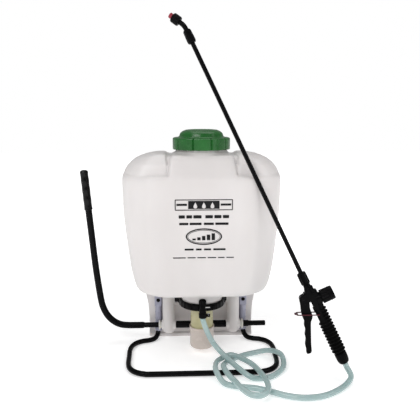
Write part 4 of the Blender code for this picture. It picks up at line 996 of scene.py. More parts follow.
def make_pump():
    def knurl(angle, r, z):
        if r < 0.0520:
            return r
        beat = math.cos(angle * 28)
        return r + 0.0007 * max(beat, -0.2)

    nut = rounded([
        (0.0478, 0.1330), (0.0500, 0.1336), (0.0522, 0.1326), (0.0530, 0.1300), (0.0530, 0.1205),
        (0.0522, 0.1186), (0.0492, 0.1166), (0.0420, 0.1166), (0.0350, 0.1170), (0.0290, 0.1172),
        (0.0276, 0.1180), (0.0276, 0.1224), (0.0468, 0.1226), (0.0470, 0.1320)], 0.0009, 3, closed=True)
    ring = lathe("ring_nut", nut, "black_plastic", steps=224, closed=True, wave=knurl, sharp=35)
    settle(ring, "pump_ring_nut")
    for i in range(6):
        angle = math.radians(-62 + 60 * i)
        lug = block("ring_nut_lug_%d" % i, (-0.0045, 0.0520, 0.1212), (0.0045, 0.0552, 0.1300), 0.0012,
                    "black_plastic", Matrix.Rotation(angle - math.radians(90), 4, "Z"))
        settle(lug, body="tank", slot="black_plastic")
    barrel = rounded([
        (0.0265, 0.1580), (0.0265, 0.1248), (0.0455, 0.1248), (0.0455, 0.1230), (0.0264, 0.1228),
        (0.0260, 0.1180), (0.0260, 0.0780), (0.0263, 0.0770), (0.0263, 0.0755), (0.0260, 0.0745),
        (0.0260, 0.0622), (0.0236, 0.0620), (0.0236, 0.1205), (0.0040, 0.1205), (0.0040, 0.1262),
        (0.0215, 0.1262), (0.0215, 0.1580)], 0.0006, 3,
        closed=True)
    settle(lathe("barrel", barrel, "pump_amber", steps=96, closed=True, sharp=35), "pump_barrel")
    cup = rounded([
        (0.0, 0.0140), (0.0205, 0.0140), (0.0225, 0.0134), (0.0250, 0.0140), (0.0276, 0.0172),
        (0.0280, 0.0210), (0.0280, 0.0590), (0.0286, 0.0598), (0.0290, 0.0612), (0.0290, 0.0642),
        (0.0284, 0.0652), (0.0270, 0.0650), (0.0268, 0.0630), (0.0268, 0.0200), (0.0235, 0.0168),
        (0.0, 0.0165)], 0.0010, 3)
    pin_z = SHAFT_Z - CRANK_RADIUS * math.sin(CRANK_HALF_SWING)
    settle(lathe("cup", list(reversed(cup)), "pump_cup_pale", steps=128, sharp=35), "pump_cup")
    pin_near = SHAFT_Y - CRANK_RADIUS
    pin_far = SHAFT_Y - CRANK_RADIUS * math.cos(CRANK_HALF_SWING)
    room = 0.0045
    slot = stadium(0.0, 0.0, (pin_far - pin_near) / 2 + room, room, 10)
    middle = (pin_near + pin_far) / 2
    low, high = 0.0268, pin_far + room + 0.0024
    cheek = rounded([(low - middle, -0.0072), (high - middle, -0.0072), (high - middle, 0.0072),
                     (low - middle, 0.0072)], 0.0022, 4, closed=True)
    lug = plate_mesh("cup_lug", cheek, [list(reversed(slot))], 0.0230)
    lug = new_piece("cup_lug", lug, "pump_cup_pale", at(0, middle, pin_z) @ SIDEWAYS)
    settle(lug, body="cup", slot="pump_cup_pale")


def make_shaft():
    place = at(0, SHAFT_Y, SHAFT_Z)
    shaft = rounded([(0.0, 0.1600), (0.0052, 0.1600), (SHAFT_R, 0.1590), (SHAFT_R, -0.1736), (0.0056, -0.1740),
                     (0.0, -0.1740)], 0.0008, 3)
    settle(lathe("shaft", shaft, "black_steel", place @ ALONG_X, 48), "pump_shaft")
    collar = rounded([(SHAFT_R, 0.1180), (0.0070, 0.1182), (0.0077, 0.1176), (0.0077, 0.1050),
                      (SHAFT_R, 0.1046)],
                     0.0004, 3, closed=True)
    settle(lathe("collar", collar, "black_steel", place @ ALONG_X, 48, closed=True), "shaft_collar")
    sleeve = rounded([(0.0065, 0.0615), (0.0084, 0.0615), (0.0088, 0.0610), (0.0088, -0.0610), (0.0084, -0.0615),
                      (0.0065, -0.0615)], 0.0003, 2, closed=True)
    settle(lathe("rocker", sleeve, "black_steel", place @ ALONG_X, 48, closed=True), "crank_rocker")
    down = CRANK_HALF_SWING
    for side, name in SIDES:
        ends = [(0.0075 * math.cos(a), 0.0075 * math.sin(a)) for a in np.radians(np.linspace(90, 270, 14))]
        ends += [(CRANK_RADIUS + 0.0058 * math.cos(a), 0.0058 * math.sin(a))
                 for a in np.radians(np.linspace(-90, 90, 14))]
        arm = plate_mesh("arm_" + name, ends, [], 0.0035, 0.0004)
        turn = Matrix.Rotation(math.radians(-90), 4, "Z") @ ALONG_MINUS_Y
        matrix = place @ at(side * 0.0150, 0, 0) @ Matrix.Rotation(down, 4, "X") @ turn
        settle(new_piece("crank_arm_" + name, arm, "black_steel", matrix, 35), body="lever", slot="black_steel")
    tip = Vector((0, -CRANK_RADIUS * math.cos(down), -CRANK_RADIUS * math.sin(down)))
    pin = rounded([(0, 0.0190), (0.0028, 0.0190), (0.0035, 0.0184), (0.0035, -0.0184), (0.0028, -0.0190),
                   (0, -0.0190)],
                  0.0004, 2)
    settle(lathe("crosspin", pin, "bright_steel", place @ Matrix.Translation(tip) @ ALONG_X, 32), "crank_pin")
    for side, name in SIDES:
        inner, outer = 0.0655, 0.1040
        profile = rounded([
            (0.0066, inner), (0.0078, inner), (0.0078, outer - 0.0042), (0.0108, outer - 0.0040),
            (0.0116, outer - 0.0030), (0.0116, outer - 0.0006), (0.0108, outer), (0.0066, outer)],
            0.0005, 3, closed=True)
        matrix = place @ ALONG_X @ (Matrix.Rotation(math.pi, 4, "X") if side < 0 else Matrix.Identity(4))
        settle(lathe("bush_" + name, profile, "natural_plastic", matrix, 48, closed=True), "shaft_bush_" + name)


def make_lever():
    place = at(0, SHAFT_Y, SHAFT_Z)
    points = [
        (-0.1400, 0, 0), (-0.1500, 0, 0), (-0.1600, 0, 0), (-0.1800, 0, 0.0004), (-0.1975, 0, 0.0030),
        (-0.2140, 0, 0.0115), (-0.2280, 0, 0.0260), (-0.2380, 0, 0.0460), (-0.2440, 0, 0.0720),
        (-0.2525, 0, 0.1430), (-0.2590, 0, 0.2180), (-0.2650, 0, 0.2905), (-0.2722, 0, 0.3800),
    ]

    def squeeze(share):
        return 1.0 - 0.10 * max(0.0, 1 - share / 0.018)

    lever = tube("lever", smooth_path(points, 8), 0.0080, "black_steel", place, 32, squeeze)
    settle(lever, "lever_tube")
    bolt = rounded([(0, 0.0115), (0.0030, 0.0115), (0.0040, 0.0103), (0.0041, 0.0082), (0.0, 0.0082)], 0.0008, 4)
    head = lathe("lever_bolt_head", bolt, "bright_steel", place @ at(-0.1530, 0, 0) @ ALONG_Y, 32)
    settle(head, "lever_bolt")
    nut = rounded([(0, -0.0078), (0.0040, -0.0078), (0.0040, -0.0100), (0.0022, -0.0104), (0.0, -0.0104)],
                  0.0004, 3)
    settle(lathe("lever_bolt_end", nut, "black_steel", place @ at(-0.1530, 0, 0) @ ALONG_Y, 6,
                 sharp=20), body="lever", slot="black_steel")
    low, top = Vector((-0.2650, 0, 0.2905)), Vector((-0.2722, 0, 0.3800))
    lean = math.atan2(low.x - top.x, top.z - low.z)
    length = (top - low).length
    profile = [(0, length + 0.0048), (0.0050, length + 0.0045), (0.0084, length + 0.0026),
               (0.0096, length - 0.0006)]
    waves = 30
    for i in range(waves + 1):
        share = i / waves
        profile.append((0.0094 + 0.00022 * math.cos(share * math.pi * 8),
                        (length - 0.003) * (1 - share) + 0.0030))
    profile += [(0.0098, 0.0020), (0.0098, 0.0006), (0.0092, 0.0), (0.0082, 0.0), (0.0082, length), (0, length)]
    grip = lathe("lever_handgrip", profile, "grip_vinyl",
                 place @ Matrix.Translation(low) @ Matrix.Rotation(-lean, 4, "Y"), 48)
    settle(grip, "lever_grip")


def make_outlet():
    bend = 0.0090
    corner = [(0, OUTLET_Y + bend - bend * math.sin(a), OUTLET_Z - bend + bend * math.cos(a))
              for a in np.radians(np.linspace(0, 90, 13))]
    line = [Vector(p) for p in [(0, -0.0440, OUTLET_Z), (0, -0.0500, OUTLET_Z), *corner,
                                (0, OUTLET_Y, 0.1200), (0, OUTLET_Y, 0.1110)]]
    elbow = tube_mesh("elbow", line, 0.0065, 40)
    collar = moved(lathe_mesh("collar", rounded([(0, 0.0040), (0.0086, 0.0040), (0.0086, -0.0040), (0, -0.0040)],
                                                0.0012), 40), at(0, -0.0505, OUTLET_Z) @ ALONG_Y)
    skirt = moved(lathe_mesh("skirt", rounded([(0, 0.0045), (0.0080, 0.0045), (0.0082, -0.0045), (0, -0.0045)],
                                              0.0012), 40), at(0, OUTLET_Y, 0.1222))
    rib = block_mesh("rib", (-0.0012, -0.0660, 0.1210), (0.0012, -0.0480, 0.1440), 0.0008)
    piece = fused("outlet", [elbow, collar, skirt, rib], "black_plastic", 0.0006, 2)
    settle(piece, "outlet_elbow")
    stop = rounded([(0, 0.0162), (0.0010, 0.0162), (0.0012, 0.0154), (0.0012, 0.0045), (0, 0.0045)], 0.0003, 2)
    settle(lathe("outlet_stop", stop, "bright_steel", at(0, OUTLET_Y - 0.0010, 0.1308) @ ALONG_X,
                 16), body="tank", slot="bright_steel")
    band = rounded([(0.0068, 0.1165), (0.0080, 0.1165), (0.0084, 0.1160), (0.0084, 0.1070), (0.0080, 0.1065),
                    (0.0068, 0.1065)], 0.0003, 3, closed=True)

    def teeth(angle, r, z):
        return r + (0.0003 * max(math.cos(angle * 36), 0) if r > 0.0075 else 0)

    settle(lathe("clamp_band", band, "black_plastic", at(0, OUTLET_Y, 0), 144, closed=True,
                 wave=teeth), "hose_clamp")
    for z, name in ((0.1090, "lower"), (0.1128, "upper")):
        settle(block("clamp_ear_" + name, (0.0076, OUTLET_Y - 0.0024, z),
                     (0.0165, OUTLET_Y + 0.0024, z + 0.0024),
                     0.0006, "black_plastic"), body="tank", slot="black_plastic")
    screw = rounded([(0, 0.1166), (0.0020, 0.1166), (0.0024, 0.1160), (0.0024, 0.1154), (0.0011, 0.1152),
                     (0.0011, 0.1070), (0, 0.1070)], 0.0003, 2)
    settle(lathe("clamp_bolt", screw, "bright_steel", at(0.0130, OUTLET_Y, 0), 24), "clamp_screw")


# ------------------------------------------------------------------ stand

def stand_points(side):
    points = [
        (SLEEVE_X, SLEEVE_Y, 0.1180), (SLEEVE_X, SLEEVE_Y, 0.0800), (SLEEVE_X, SLEEVE_Y, 0.0450),
        (0.1055, 0.0800, 0.0250), (0.1085, 0.0725, 0.0115), (0.1150, 0.0620, 0.0063),
        (0.1280, 0.0525, STAND_LINE_Z), (0.1435, 0.0475, STAND_LINE_Z), (0.1575, 0.0370, STAND_LINE_Z),
        (0.1665, 0.0190, STAND_LINE_Z), (0.1695, -0.0050, STAND_LINE_Z), (0.1680, -0.0400, STAND_LINE_Z),
        (0.1665, -0.0720, STAND_LINE_Z), (0.1610, -0.0960, STAND_LINE_Z), (0.1480, -0.1135, STAND_LINE_Z),
        (0.1280, -0.1235, STAND_LINE_Z), (0.1000, -0.1255, STAND_LINE_Z),
    ]
    return [(side * x, y, z) for x, y, z in points]


def make_stand():
    line = smooth_path(stand_points(-1) + list(reversed(stand_points(1))), 8)
    settle(tube("stand", line, STAND_R, "black_steel", sides=32), "stand_tube")
    for side, name in SIDES:
        path = smooth_path(stand_points(side)[:6], 8)[:-14]
        path[0] = Vector((side * SLEEVE_X, SLEEVE_Y, 0.1230))
        body = tube_mesh("sleeve_body", path, 0.0078, 40, round_ends=0.0015)
        rim = [Vector(p) for p in path if p.z < 0.032]
        top = moved(block_mesh("top", (-0.0088, -0.0080, 0.0850), (0.0088, 0.0085, 0.1260), 0.0022),
                    at(side * SLEEVE_X, SLEEVE_Y, 0))
        pieces = [body, top, tube_mesh("sleeve_lip", rim[-5:], 0.0086, 40, round_ends=0.0006)]
        for level in (0.070, 0.052):
            pieces.append(moved(lathe_mesh("hoop", rounded([(0, 0.0012), (0.0084, 0.0012), (0.0084, -0.0012),
                                                            (0, -0.0012)], 0.0005), 40),
                                at(side * SLEEVE_X, SLEEVE_Y, level)))
        settle(fused("sleeve_" + name, pieces, "sleeve_grey", 0.0007, 2), "stand_sleeve_" + name)
        face = SLEEVE_Y - 0.0080
        screw = rounded([(0, 0.0026), (0.0022, 0.0026), (0.0042, 0.0016), (0.0048, 0.0002), (0.0, 0.0)],
                        0.0006, 4)
        matrix = at(side * SLEEVE_X, face, SCREW_Z) @ ALONG_MINUS_Y
        settle(lathe("screw_head_" + name, screw, "black_steel", matrix, 32), "stand_screw_" + name)
        for turn in (0, 90):
            cross = block("screw_cross_%s_%d" % (name, turn), (-0.0022, -0.0004, 0.0023),
                          (0.0022, 0.0004, 0.00275),
                          0.0001, "rubber", matrix @ Matrix.Rotation(math.radians(turn + 20), 4, "Z"))
            settle(cross, body="tank", slot="black_steel")


# ------------------------------------------------------------------ harness

def strap_frame(line, x):
    """Points in space of a strap's middle line at one X, from (Y, Z) pairs."""
    return [Vector((x, y, z)) for y, z in line]


def strap_rings(path, outline, narrow=None):
    """Rings of an outline along a strap's middle line. narrow(share) scales its width on the way."""
    rings = []
    for i, point in enumerate(path):
        up = ACROSS.cross(tangent(path, i))
        width = narrow(i / (len(path) - 1)) if narrow else 1.0
        rings.append([point + ACROSS * u * width + up * v for u, v in outline])
    return rings


def ribbon(name, line, x, width, thickness):
    """A flat woven band with thicker rounded edges, swept along its line."""
    half = width / 2
    outline = [(-half, 0), (-half + 0.0004, thickness / 2 + 0.0001), (-half + 0.0022, thickness / 2 + 0.0002),
               (-half + 0.0032, thickness / 2), (half - 0.0032, thickness / 2),
               (half - 0.0022, thickness / 2 + 0.0002), (half - 0.0004, thickness / 2 + 0.0001), (half, 0)]
    outline += [(u, -v) for u, v in reversed(outline[1:-1])]
    rings = strap_rings(smooth_path(strap_frame(line, x), 8), outline)
    return new_piece(name, loft_mesh(name, rings), "webbing", sharp=50)


def stitches(name, line, x, offset):
    """A row of short stitches along a strap, at an offset from its middle and standing on its outer face."""
    step, lift = 0.0042, 0.0010
    path = smooth_path(strap_frame(line, x), 10)
    length = 0.0
    shape = bmesh.new()
    after = step
    for a, b in zip(path, path[1:]):
        length += (b - a).length
        if length < after:
            continue
        after += step
        along = (b - a).normalized()
        up = ACROSS.cross(along)
        if up.y < 0:
            up = -up
        turn = Matrix((along, ACROSS, up)).transposed().to_4x4()
        matrix = Matrix.Translation(b + ACROSS * offset + up * lift) @ turn
        bmesh.ops.create_uvsphere(shape, u_segments=8, v_segments=5, radius=1.0,
                                  matrix=matrix @ Matrix.Diagonal((0.0014, 0.0004, 0.0003, 1)))
    mesh = bpy.data.meshes.new(name)
    shape.to_mesh(mesh)
    shape.free()
    piece = new_piece(name, mesh, THREAD, sharp=0)
    settle(piece, body="tank", slot="webbing")


def make_pad(x, name):
    """A foam strap pad: a soft plate that a cloth simulation blows up inside its sewn edge."""
    path = smooth_path(strap_frame(PAD_LINE, x), 6)
    outline = rounded([(-0.0225, -0.0030), (0.0225, -0.0030), (0.0225, 0.0030), (-0.0225, 0.0030)], 0.0026, 4,
                      closed=True)

    def narrow(share):
        return 1.0 - 0.22 * max(0.0, 1 - share / 0.10) ** 2 - 0.22 * max(0.0, 1 - (1 - share) / 0.10) ** 2

    pad = new_piece("pad_" + name, loft_mesh("pad", strap_rings(path, outline, narrow)), "pad_fabric", sharp=0)
    remesh = pad.modifiers.new("remesh", "REMESH")
    remesh.mode = "VOXEL"
    remesh.voxel_size = 0.0028
    apply_modifiers(pad)
    start = np.array([v.co for v in pad.data.vertices])
    cloth = pad.modifiers.new("cloth", "CLOTH")
    settings = cloth.settings
    settings.quality = 6
    settings.mass = 0.15
    settings.use_pressure = True
    settings.uniform_pressure_force = 4.0
    settings.effector_weights.gravity = 0.0
    settings.tension_stiffness = 30
    settings.compression_stiffness = 30
    settings.bending_stiffness = 2.0
    cloth.point_cache.frame_end = 20
    for step in range(1, 21):
        bpy.context.scene.frame_set(step)
    apply_modifiers(pad)
    end = np.array([v.co for v in pad.data.vertices])
    shift = end - start
    reach = np.linalg.norm(shift, axis=1, keepdims=True)
    most = 0.0026
    shift *= np.minimum(1.0, most / np.maximum(reach, 1e-9))
    pad.data.vertices.foreach_set("co", (start + shift).ravel())
    bpy.context.scene.frame_set(1)
    # Sewn channels: two rows of stitching down the pad, and four across it, press it towards its middle line.
    points = np.array([v.co for v in pad.data.vertices])
    middle = np.interp(-points[:, 2], [-z for y, z in PAD_LINE], [y for y, z in PAD_LINE])
    for seam in (-0.0090, 0.0090):
        dent = np.exp(-((points[:, 0] - x - seam) / 0.0017) ** 2)
        points[:, 1] += (middle - points[:, 1]) * dent * 0.30
    for z in np.linspace(0.225, 0.345, 4):
        dent = np.exp(-((points[:, 2] - z) / 0.0020) ** 2)
        points[:, 1] += (middle - points[:, 1]) * dent * 0.16
    pad.data.vertices.foreach_set("co", points.ravel())
    finer = pad.modifiers.new("finer", "SUBSURF")
    finer.levels = 1
    finer.render_levels = 1
    apply_modifiers(pad)
    paint(pad.data, MATERIALS["pad_fabric"])
    pad.data.shade_smooth()
    settle(pad, "shoulder_pad_" + name)
    edges = [tube_mesh("edge", [p + ACROSS * (side * 0.0228) for p in path[2:-2]], 0.0012, 10, round_ends=0.0006)
             for side in (-1, 1)]
    mesh = joined_mesh("piping_" + name, edges)
    settle(new_piece("pad_piping_" + name, mesh, "webbing", sharp=0), body="tank", slot="webbing")


def make_harness():
    bar_z = 0.3900
    plate = block_mesh("plate", (-0.0900, BACK_Y + GAP, bar_z - 0.016), (0.0900, BACK_Y + 0.0120, bar_z + 0.016),
                       0.0022)
    cutters = [block_mesh("slot", (side * STRAP_X - 0.022, BACK_Y + 0.0032, bar_z - 0.030),
                          (side * STRAP_X + 0.022, BACK_Y + 0.0082, bar_z + 0.030), 0.0012) for side in (-1, 1)]
    cutters.append(block_mesh("recess", (-0.0300, BACK_Y + 0.0095, bar_z - 0.0095),
                              (0.0300, BACK_Y + 0.0140, bar_z + 0.0095), 0.0012))
    settle(fused("harness_bracket", [plate], "black_plastic", 0.0010, 1, cutters=cutters), "strap_bracket")
    for x in (-0.0350, 0.0350):
        head = rounded([(0, 0.0026), (0.0028, 0.0026), (0.0046, 0.0014), (0.0050, 0.0), (0.0, 0.0)], 0.0006, 4)
        matrix = at(x, BACK_Y + 0.0120, bar_z) @ ALONG_Y
        settle(lathe("bracket_screw_%d" % (x > 0), head, "bright_steel", matrix, 28), body="tank",
               slot="bright_steel")
    upper = [(0.1058, 0.4120), (0.1058, 0.3900), (0.1062, 0.3720), (0.1120, 0.3700), (0.1160, 0.3680)]
    wrap = [(0.1160, 0.3680), (0.1230, 0.3640), (0.1300, 0.3520), (0.1345, 0.3400)]
    lower = [(0.1330, 0.2050), (0.1325, 0.1960), (0.1310, 0.1880), (0.1290, 0.1750), (0.1260, 0.1500),
             (0.1230, 0.1200), (0.1210, 0.0900), (0.1188, 0.0620), (0.1176, 0.0560)]
    tail = [(0.1345, 0.1900), (0.1352, 0.1780), (0.1340, 0.1600), (0.1322, 0.1400), (0.1318, 0.1280)]
    for side, name in SIDES:
        x = side * STRAP_X
        make_pad(x, name)
        settle(ribbon("webbing_top_" + name, upper, x, 0.0380, 0.0016), "upper_webbing_" + name)
        settle(ribbon("webbing_anchor_" + name, wrap, x, 0.0300, 0.0016), body="tank", slot="webbing")
        settle(ribbon("webbing_low_" + name, lower, x, 0.0250, 0.0015), "lower_webbing_" + name)
        settle(ribbon("webbing_tail_" + name, tail, x, 0.0245, 0.0015), body="tank", slot="webbing")
        for offset in (-0.0100, 0.0100):
            stitches("stitch_low_%s_%d" % (name, offset > 0), lower[3:], x, offset)
            stitches("stitch_anchor_%s_%d" % (name, offset > 0), wrap, x, offset * 1.25)
        bars = [block_mesh("frame_bar", (x - 0.0185, 0.1272, z), (x + 0.0185, 0.1372, z + 0.0034), 0.0012)
                for z in (0.1870, 0.1960, 0.2050)]
        rails = [block_mesh("frame_rail", (x + s * 0.0185 - 0.0022, 0.1285, 0.1870),
                            (x + s * 0.0185 + 0.0022, 0.1362, 0.2084), 0.0012) for s in (-1, 1)]
        settle(fused("ladder_buckle_" + name, bars + rails, "black_plastic", 0.0007, 1), "strap_buckle_" + name)
        loop = [(0.0, 0.1182, 0.0585), (-0.0120, 0.1182, 0.0582), (-0.0140, 0.1182, 0.0560),
                (-0.0140, 0.1182, 0.0500), (-0.0110, 0.1175, 0.0460), (-0.0030, 0.1150, 0.0420),
                (-0.0015, 0.1080, 0.0380), (-0.0012, 0.0980, 0.0345), (-0.0010, 0.0900, 0.0333),
                (-0.0010, 0.0868, 0.0345), (-0.0010, 0.0862, 0.0390)]
        wires = []
        for turn in (1, -1):
            line = smooth_path([(turn * a, b, c) for a, b, c in loop], 6)
            wires.append(tube_mesh("wire", [Vector((x, 0, 0)) + p for p in line], 0.0015, 16, round_ends=0.0010))
        settle(fused("wire_hook_" + name, wires, "bright_steel", 0.0005, 1), "strap_hook_" + name)


# ------------------------------------------------------------------ handset and lance

def handset_frame():
    away = LANCE_DIRECTION.cross(HANDSET_SIDE).normalized()
    side = away.cross(LANCE_DIRECTION).normalized()
    return Matrix.Translation(BUTT) @ Matrix((side, away, LANCE_DIRECTION)).transposed().to_4x4()


HANDSET = handset_frame()
VALVE = HANDSET @ at(0, 0, VALVE_Z) @ ALONG_X


def make_grip():
    offset = HANDSET @ at(GRIP_OFFSET, 0, 0)

    def flutes(angle, r, z):
        return r - (0.0005 * max(math.cos(angle * 16), 0) ** 4 if 0.003 < z < 0.020 and r > 0.0105 else 0)

    nut = rounded([
        (0.0122, 0.0246), (0.0128, 0.0236), (0.0129, 0.0170), (0.0125, 0.0100), (0.0115, 0.0045),
        (0.0100, 0.0010), (0.0082, 0.0), (0.0062, 0.0006), (0.0062, 0.0060), (0.0090, 0.0060),
        (0.0090, 0.0246)], 0.0010, 4,
        closed=True)
    settle(lathe("butt_nut", nut, "black_plastic", offset, 128, closed=True, wave=flutes), "hose_nut")
    ribs = 14
    bottom, top = 0.0262, 0.1290
    pitch = (top - bottom) / ribs
    profile = []
    for i in range(ribs):
        low = bottom + i * pitch
        profile += [(0.0110, low), (0.0112, low + pitch * 0.25), (0.0148, low + pitch * 0.52),
                    (0.0149, low + pitch * 0.66), (0.0146, low + pitch * 0.74), (0.0112, low + pitch * 0.88)]
    profile.append((0.0110, top))
    outer = rounded(list(reversed(profile)), 0.0003, 2)

    def relief(angle, r, z):
        """The ribs stop short of the squeezed trigger on its side of the grip's top."""
        if z > 0.1000 and math.cos(angle) < 0.1:
            return min(r, 0.0109)
        return r

    sleeve = lathe("ribbed_sleeve", [*outer, (0.0104, bottom), (0.0104, top)], "rubber", offset, 72, closed=True,
                   wave=relief, sharp=60)
    settle(sleeve, "grip_sleeve")


def make_valve_body():
    gx = GRIP_OFFSET
    pieces = [block_mesh("block", (-0.0068, -0.0096, 0.1300), (0.0150, 0.0096, 0.1705), 0.0036)]
    core = lathe_mesh("core", rounded([(0, 0.1400), (0.0106, 0.1400), (0.0106, 0.1110), (0.0086, 0.1105),
                                       (0.0086, 0.0200), (0, 0.0200)], 0.0010), 48)
    collar = lathe_mesh("collar", rounded([(0, 0.1360), (0.0100, 0.1360), (0.0112, 0.1280), (0.0112, 0.1160),
                                           (0.0100, 0.1125), (0, 0.1125)], 0.0014), 48)
    pieces += [moved(core, at(gx, 0, 0)), moved(collar, at(gx, 0, 0))]
    pieces.append(lathe_mesh("neck", rounded([
        (0, 0.1990), (0.0060, 0.1990), (0.0060, 0.1885), (0.0074, 0.1870), (0.0080, 0.1800), (0.0098, 0.1768),
        (0.0098, 0.1600), (0, 0.1600)], 0.0012), 48))
    spigot = lathe_mesh("spigot", rounded([(0, 0.0230), (0.0112, 0.0230), (0.0112, 0.0168), (0.0118, 0.0160),
                                           (0.0118, 0.0060), (0, 0.0060)], 0.0008), 48)
    pieces.append(moved(spigot, at(0, 0, VALVE_Z) @ ALONG_X))
    px, pz = TRIGGER_PIVOT
    ear = [(0.0, 0.1490), (0.0, 0.1715)] + [(px + 0.0080 * math.cos(a), pz + 0.0080 * math.sin(a))
                                            for a in np.radians(np.linspace(85, 250, 16))]
    for y in (-0.0083, 0.0083):
        plate = plate_mesh("ear", ear, [], 0.0026, 0.0006)
        pieces.append(moved(plate, at(0, y, 0) @ ALONG_MINUS_Y))
    pieces.append(moved(plate_mesh("bridge", [(-0.0055, 0.1640), (-0.0055, 0.1725), (-0.0130, 0.1728),
                                               (-0.0150, 0.1700)], [], 0.0180, 0.0005), ALONG_MINUS_Y))
    pieces.append(block_mesh("prong", (-0.0092, -0.0030, 0.1265), (-0.0030, 0.0030, 0.1360), 0.0010))
    pieces.append(block_mesh("spine", (0.0020, -0.0018, 0.1660), (0.0105, 0.0018, 0.1810), 0.0012))
    between = block_mesh("between", (-0.0420, -0.0069, 0.1360), (-0.0068, 0.0069, 0.1640), 0.0004)
    body = fused("valve_body", pieces, "black_plastic", 0.0007, 3, HANDSET, cutters=(between,))
    settle(body, "handle_body")
    pin = rounded([(0, 0.0110), (0.0022, 0.0110), (0.0034, 0.0103), (0.0034, 0.0095), (0.0, 0.0095)], 0.0004, 3)
    for side, name in ((0, "near"), (180, "far")):
        matrix = (HANDSET @ at(px, 0, pz) @ Matrix.Rotation(math.radians(side), 4, "Z")
                  @ ALONG_MINUS_Y)
        head = lathe("pivot_pin_" + name, pin, "bright_steel" if side else "black_steel", matrix, 28)
        if side:
            settle(head, "trigger_pin")
        else:
            settle(head, body="tank", slot="black_steel")


def make_valve_cap():
    def ribs(angle, r, z):
        if 0.0175 < z < 0.0335 and r > 0.0135:
            return r - 0.0006 + 0.0007 * max(math.cos(angle * 20), -0.3)
        return r

    profile = rounded([
        (0, 0.0440), (0.0098, 0.0440), (0.0106, 0.0448), (0.0128, 0.0448), (0.0143, 0.0436), (0.0147, 0.0400),
        (0.0148, 0.0372), (0.0152, 0.0366), (0.0152, 0.0352), (0.0146, 0.0345), (0.0147, 0.0330),
        (0.0147, 0.0260), (0.0148, 0.0185), (0.0144, 0.0172), (0.0122, 0.0170), (0.0120, 0.0250),
        (0, 0.0250)], 0.0006, 3)
    settle(lathe("spring_cap", profile, "black_plastic", VALVE, 160, wave=ribs, sharp=35), "valve_cap")


def make_valve_spring():
    """The closing spring between the stem's flange and the cap, which the stem pushes shorter; here it is built
    at rest length only.
    """
    start, end, turns, stroke = 0.0136, 0.0408, 5, 0.0021
    count = 24 * turns
    helix = [Vector((0.0058 * math.cos(2 * math.pi * i / 24), 0.0058 * math.sin(2 * math.pi * i / 24),
                     start + (end - start) * i / count)) for i in range(count + 1)]
    spring = tube("closing_spring", helix, 0.0006, "bright_steel", VALVE, 12, round_ends=0.0003)
    settle(spring, "valve_spring")
    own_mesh(spring)


def make_trigger():
    px, pz = TRIGGER_PIVOT
    front = [
        (-0.0150, 0.1665), (-0.0190, 0.1682), (-0.0245, 0.1672), (-0.0272, 0.1625), (-0.0305, 0.1500),
        (-0.0348, 0.1370), (-0.0364, 0.1270), (-0.0366, 0.1180), (-0.0408, 0.1090), (-0.0424, 0.0995),
        (-0.0478, 0.0905), (-0.0502, 0.0805), (-0.0560, 0.0710), (-0.0584, 0.0600), (-0.0612, 0.0520)]
    back = [(-0.0565, 0.0493), (-0.0500, 0.0510), (-0.0440, 0.0660), (-0.0345, 0.0880), (-0.0250, 0.1090),
            (-0.0205, 0.1140), (-0.0165, 0.1195), (-0.0152, 0.1260), (-0.0140, 0.1380), (-0.0106, 0.1480),
            (-0.0106, 0.1580)]
    line = smooth_path([(x - px, z - pz, 0) for x, z in front + back + front[:1]], 4)[:-1]
    outline = [(p.x, p.y) for p in line]
    plate = plate_mesh("trigger", outline, [], 0.0126, 0.0014)
    trigger = new_piece("trigger", plate, "black_plastic", HANDSET @ at(px, 0, pz) @ ALONG_MINUS_Y,
                        45)
    settle(trigger, "trigger_lever")


def make_latch():
    pivot = Vector((LATCH_PIVOT[0], 0, LATCH_PIVOT[1]))
    reach = Vector((-0.0430, 0, 0.0188))
    half = 0.0116
    right = [Vector((0, -0.0070, 0)), Vector((0, -half + 0.0012, 0)), Vector((-0.0012, -half, 0.0006))]
    right += [reach * share + Vector((0, -half * wide, 0))
              for share, wide in ((0.25, 1), (0.5, 1), (0.75, 1), (0.90, 1), (0.98, 0.88), (1, 0.6))]
    left = [Vector((p.x, -p.y, p.z)) for p in reversed(right)]
    wire = tube_mesh("wire", smooth_path(right + left, 5), 0.0013, 20)
    tab = block_mesh("tab", (-0.0048, -0.0068, -0.0010), (0.0030, 0.0068, 0.0010), 0.0008)
    tab.transform(Matrix.Translation(reach) @ Matrix.Rotation(math.atan2(reach.z, -reach.x), 4, "Y"))
    settle(fused("lock_bail", [wire, tab], "latch_red", 0.0005, 1, HANDSET @ Matrix.Translation(pivot)),
           "lock_latch")


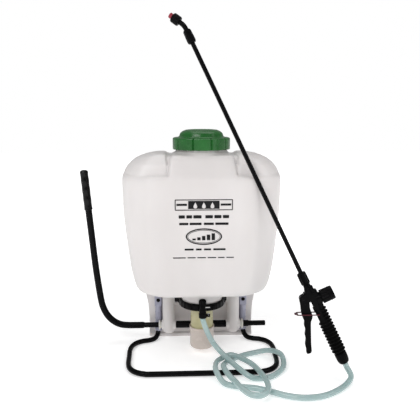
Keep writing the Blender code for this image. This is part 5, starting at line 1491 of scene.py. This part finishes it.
def make_lance():
    def fins(count, depth, low, high):
        def shape(angle, r, z):
            if r < 0.0062 or not low < z < high:
                return r
            return r - depth * (0.5 - 0.5 * math.cos(angle * count)) ** 0.6
        return shape

    lower = rounded([
        (0.0050, 0.2136), (0.0080, 0.2140), (0.0092, 0.2128), (0.0096, 0.2108), (0.0098, 0.2000),
        (0.0098, 0.1895), (0.0092, 0.1878), (0.0066, 0.1876), (0.0066, 0.2030),
        (0.0050, 0.2032)], 0.0006, 3, closed=True)
    settle(lathe("gland_nut_lower", lower, "black_plastic", HANDSET, 192, closed=True,
                 wave=fins(6, 0.0020, 0.1890, 0.2118), sharp=30), "lance_nut_lower")
    tube_profile = [(LANCE_R, 0.7480), (LANCE_R, 0.2035), (0.0036, 0.2035), (0.0036, 0.7480)]
    settle(lathe("wand", tube_profile, "black_steel", HANDSET, 48, closed=True), "lance_tube")
    upper = rounded([
        (0.0050, 0.7716), (0.0066, 0.7718), (0.0078, 0.7702), (0.0085, 0.7680), (0.0090, 0.7560),
        (0.0092, 0.7480), (0.0086, 0.7440), (0.0074, 0.7424), (0.0052, 0.7426)], 0.0008, 3, closed=True)
    settle(lathe("gland_nut_upper", upper, "black_plastic", HANDSET, 192, closed=True,
                 wave=fins(8, 0.0012, 0.7450, 0.7705), sharp=30), "lance_nut_upper")
    radius = 0.0300
    start = 0.7740
    bend = [Vector((-radius * (1 - math.cos(a)), 0, start + radius * math.sin(a)))
            for a in np.linspace(0, NOZZLE_BEND, 14)]
    along = Vector((-math.sin(NOZZLE_BEND), 0, math.cos(NOZZLE_BEND)))
    path = [Vector((0, 0, 0.7500)), Vector((0, 0, 0.7620)), *bend, bend[-1] + along * 0.0158]
    settle(tube("bent_pipe", path, 0.0051, "black_plastic", HANDSET, 40), "nozzle_elbow")
    head = HANDSET @ Matrix.Translation(bend[-1] + along * 0.0050) @ Matrix.Rotation(-NOZZLE_BEND, 4, "Y")

    def knurl(angle, r, z):
        if r < 0.0080 or not 0.0016 < z < 0.0155:
            return r
        return r + 0.00045 * (abs(math.sin(angle * 9)) - 0.6)

    cap = rounded([
        (0.0056, 0.0178), (0.0080, 0.0178), (0.0096, 0.0168), (0.0101, 0.0150), (0.0102, 0.0090),
        (0.0101, 0.0014), (0.0094, 0.0), (0.0054, -0.0004), (0.0050, 0.0112), (0.0074, 0.0112),
        (0.0074, 0.0150), (0.0056, 0.0152)],
        0.0005, 3, closed=True)
    settle(lathe("swirl_cap", cap, "black_plastic", head, 162, closed=True, wave=knurl, sharp=30), "nozzle_cap")
    tip = rounded([
        (0.0011, 0.0236), (0.0022, 0.0236), (0.0026, 0.0248), (0.0050, 0.0250), (0.0059, 0.0240),
        (0.0059, 0.0172), (0.0055, 0.0150), (0.0070, 0.0147), (0.0070, 0.0118),
        (0.0011, 0.0118)], 0.0004, 3, closed=True)
    notch = block_mesh("notch", (-0.0080, -0.0009, 0.0224), (0.0080, 0.0009, 0.0280), 0.0003)
    jet = fused("spray_tip", [lathe_mesh("tip", tip, 72, closed=True)], "nozzle_red", 0.0004, 1, head,
                cutters=(notch,))
    settle(jet, "nozzle_tip")


make_cap()
make_pump()
make_shaft()
make_lever()
make_outlet()
make_stand()
make_harness()
make_grip()
make_valve_body()
make_valve_cap()
make_valve_spring()
make_trigger()
make_latch()
make_lance()
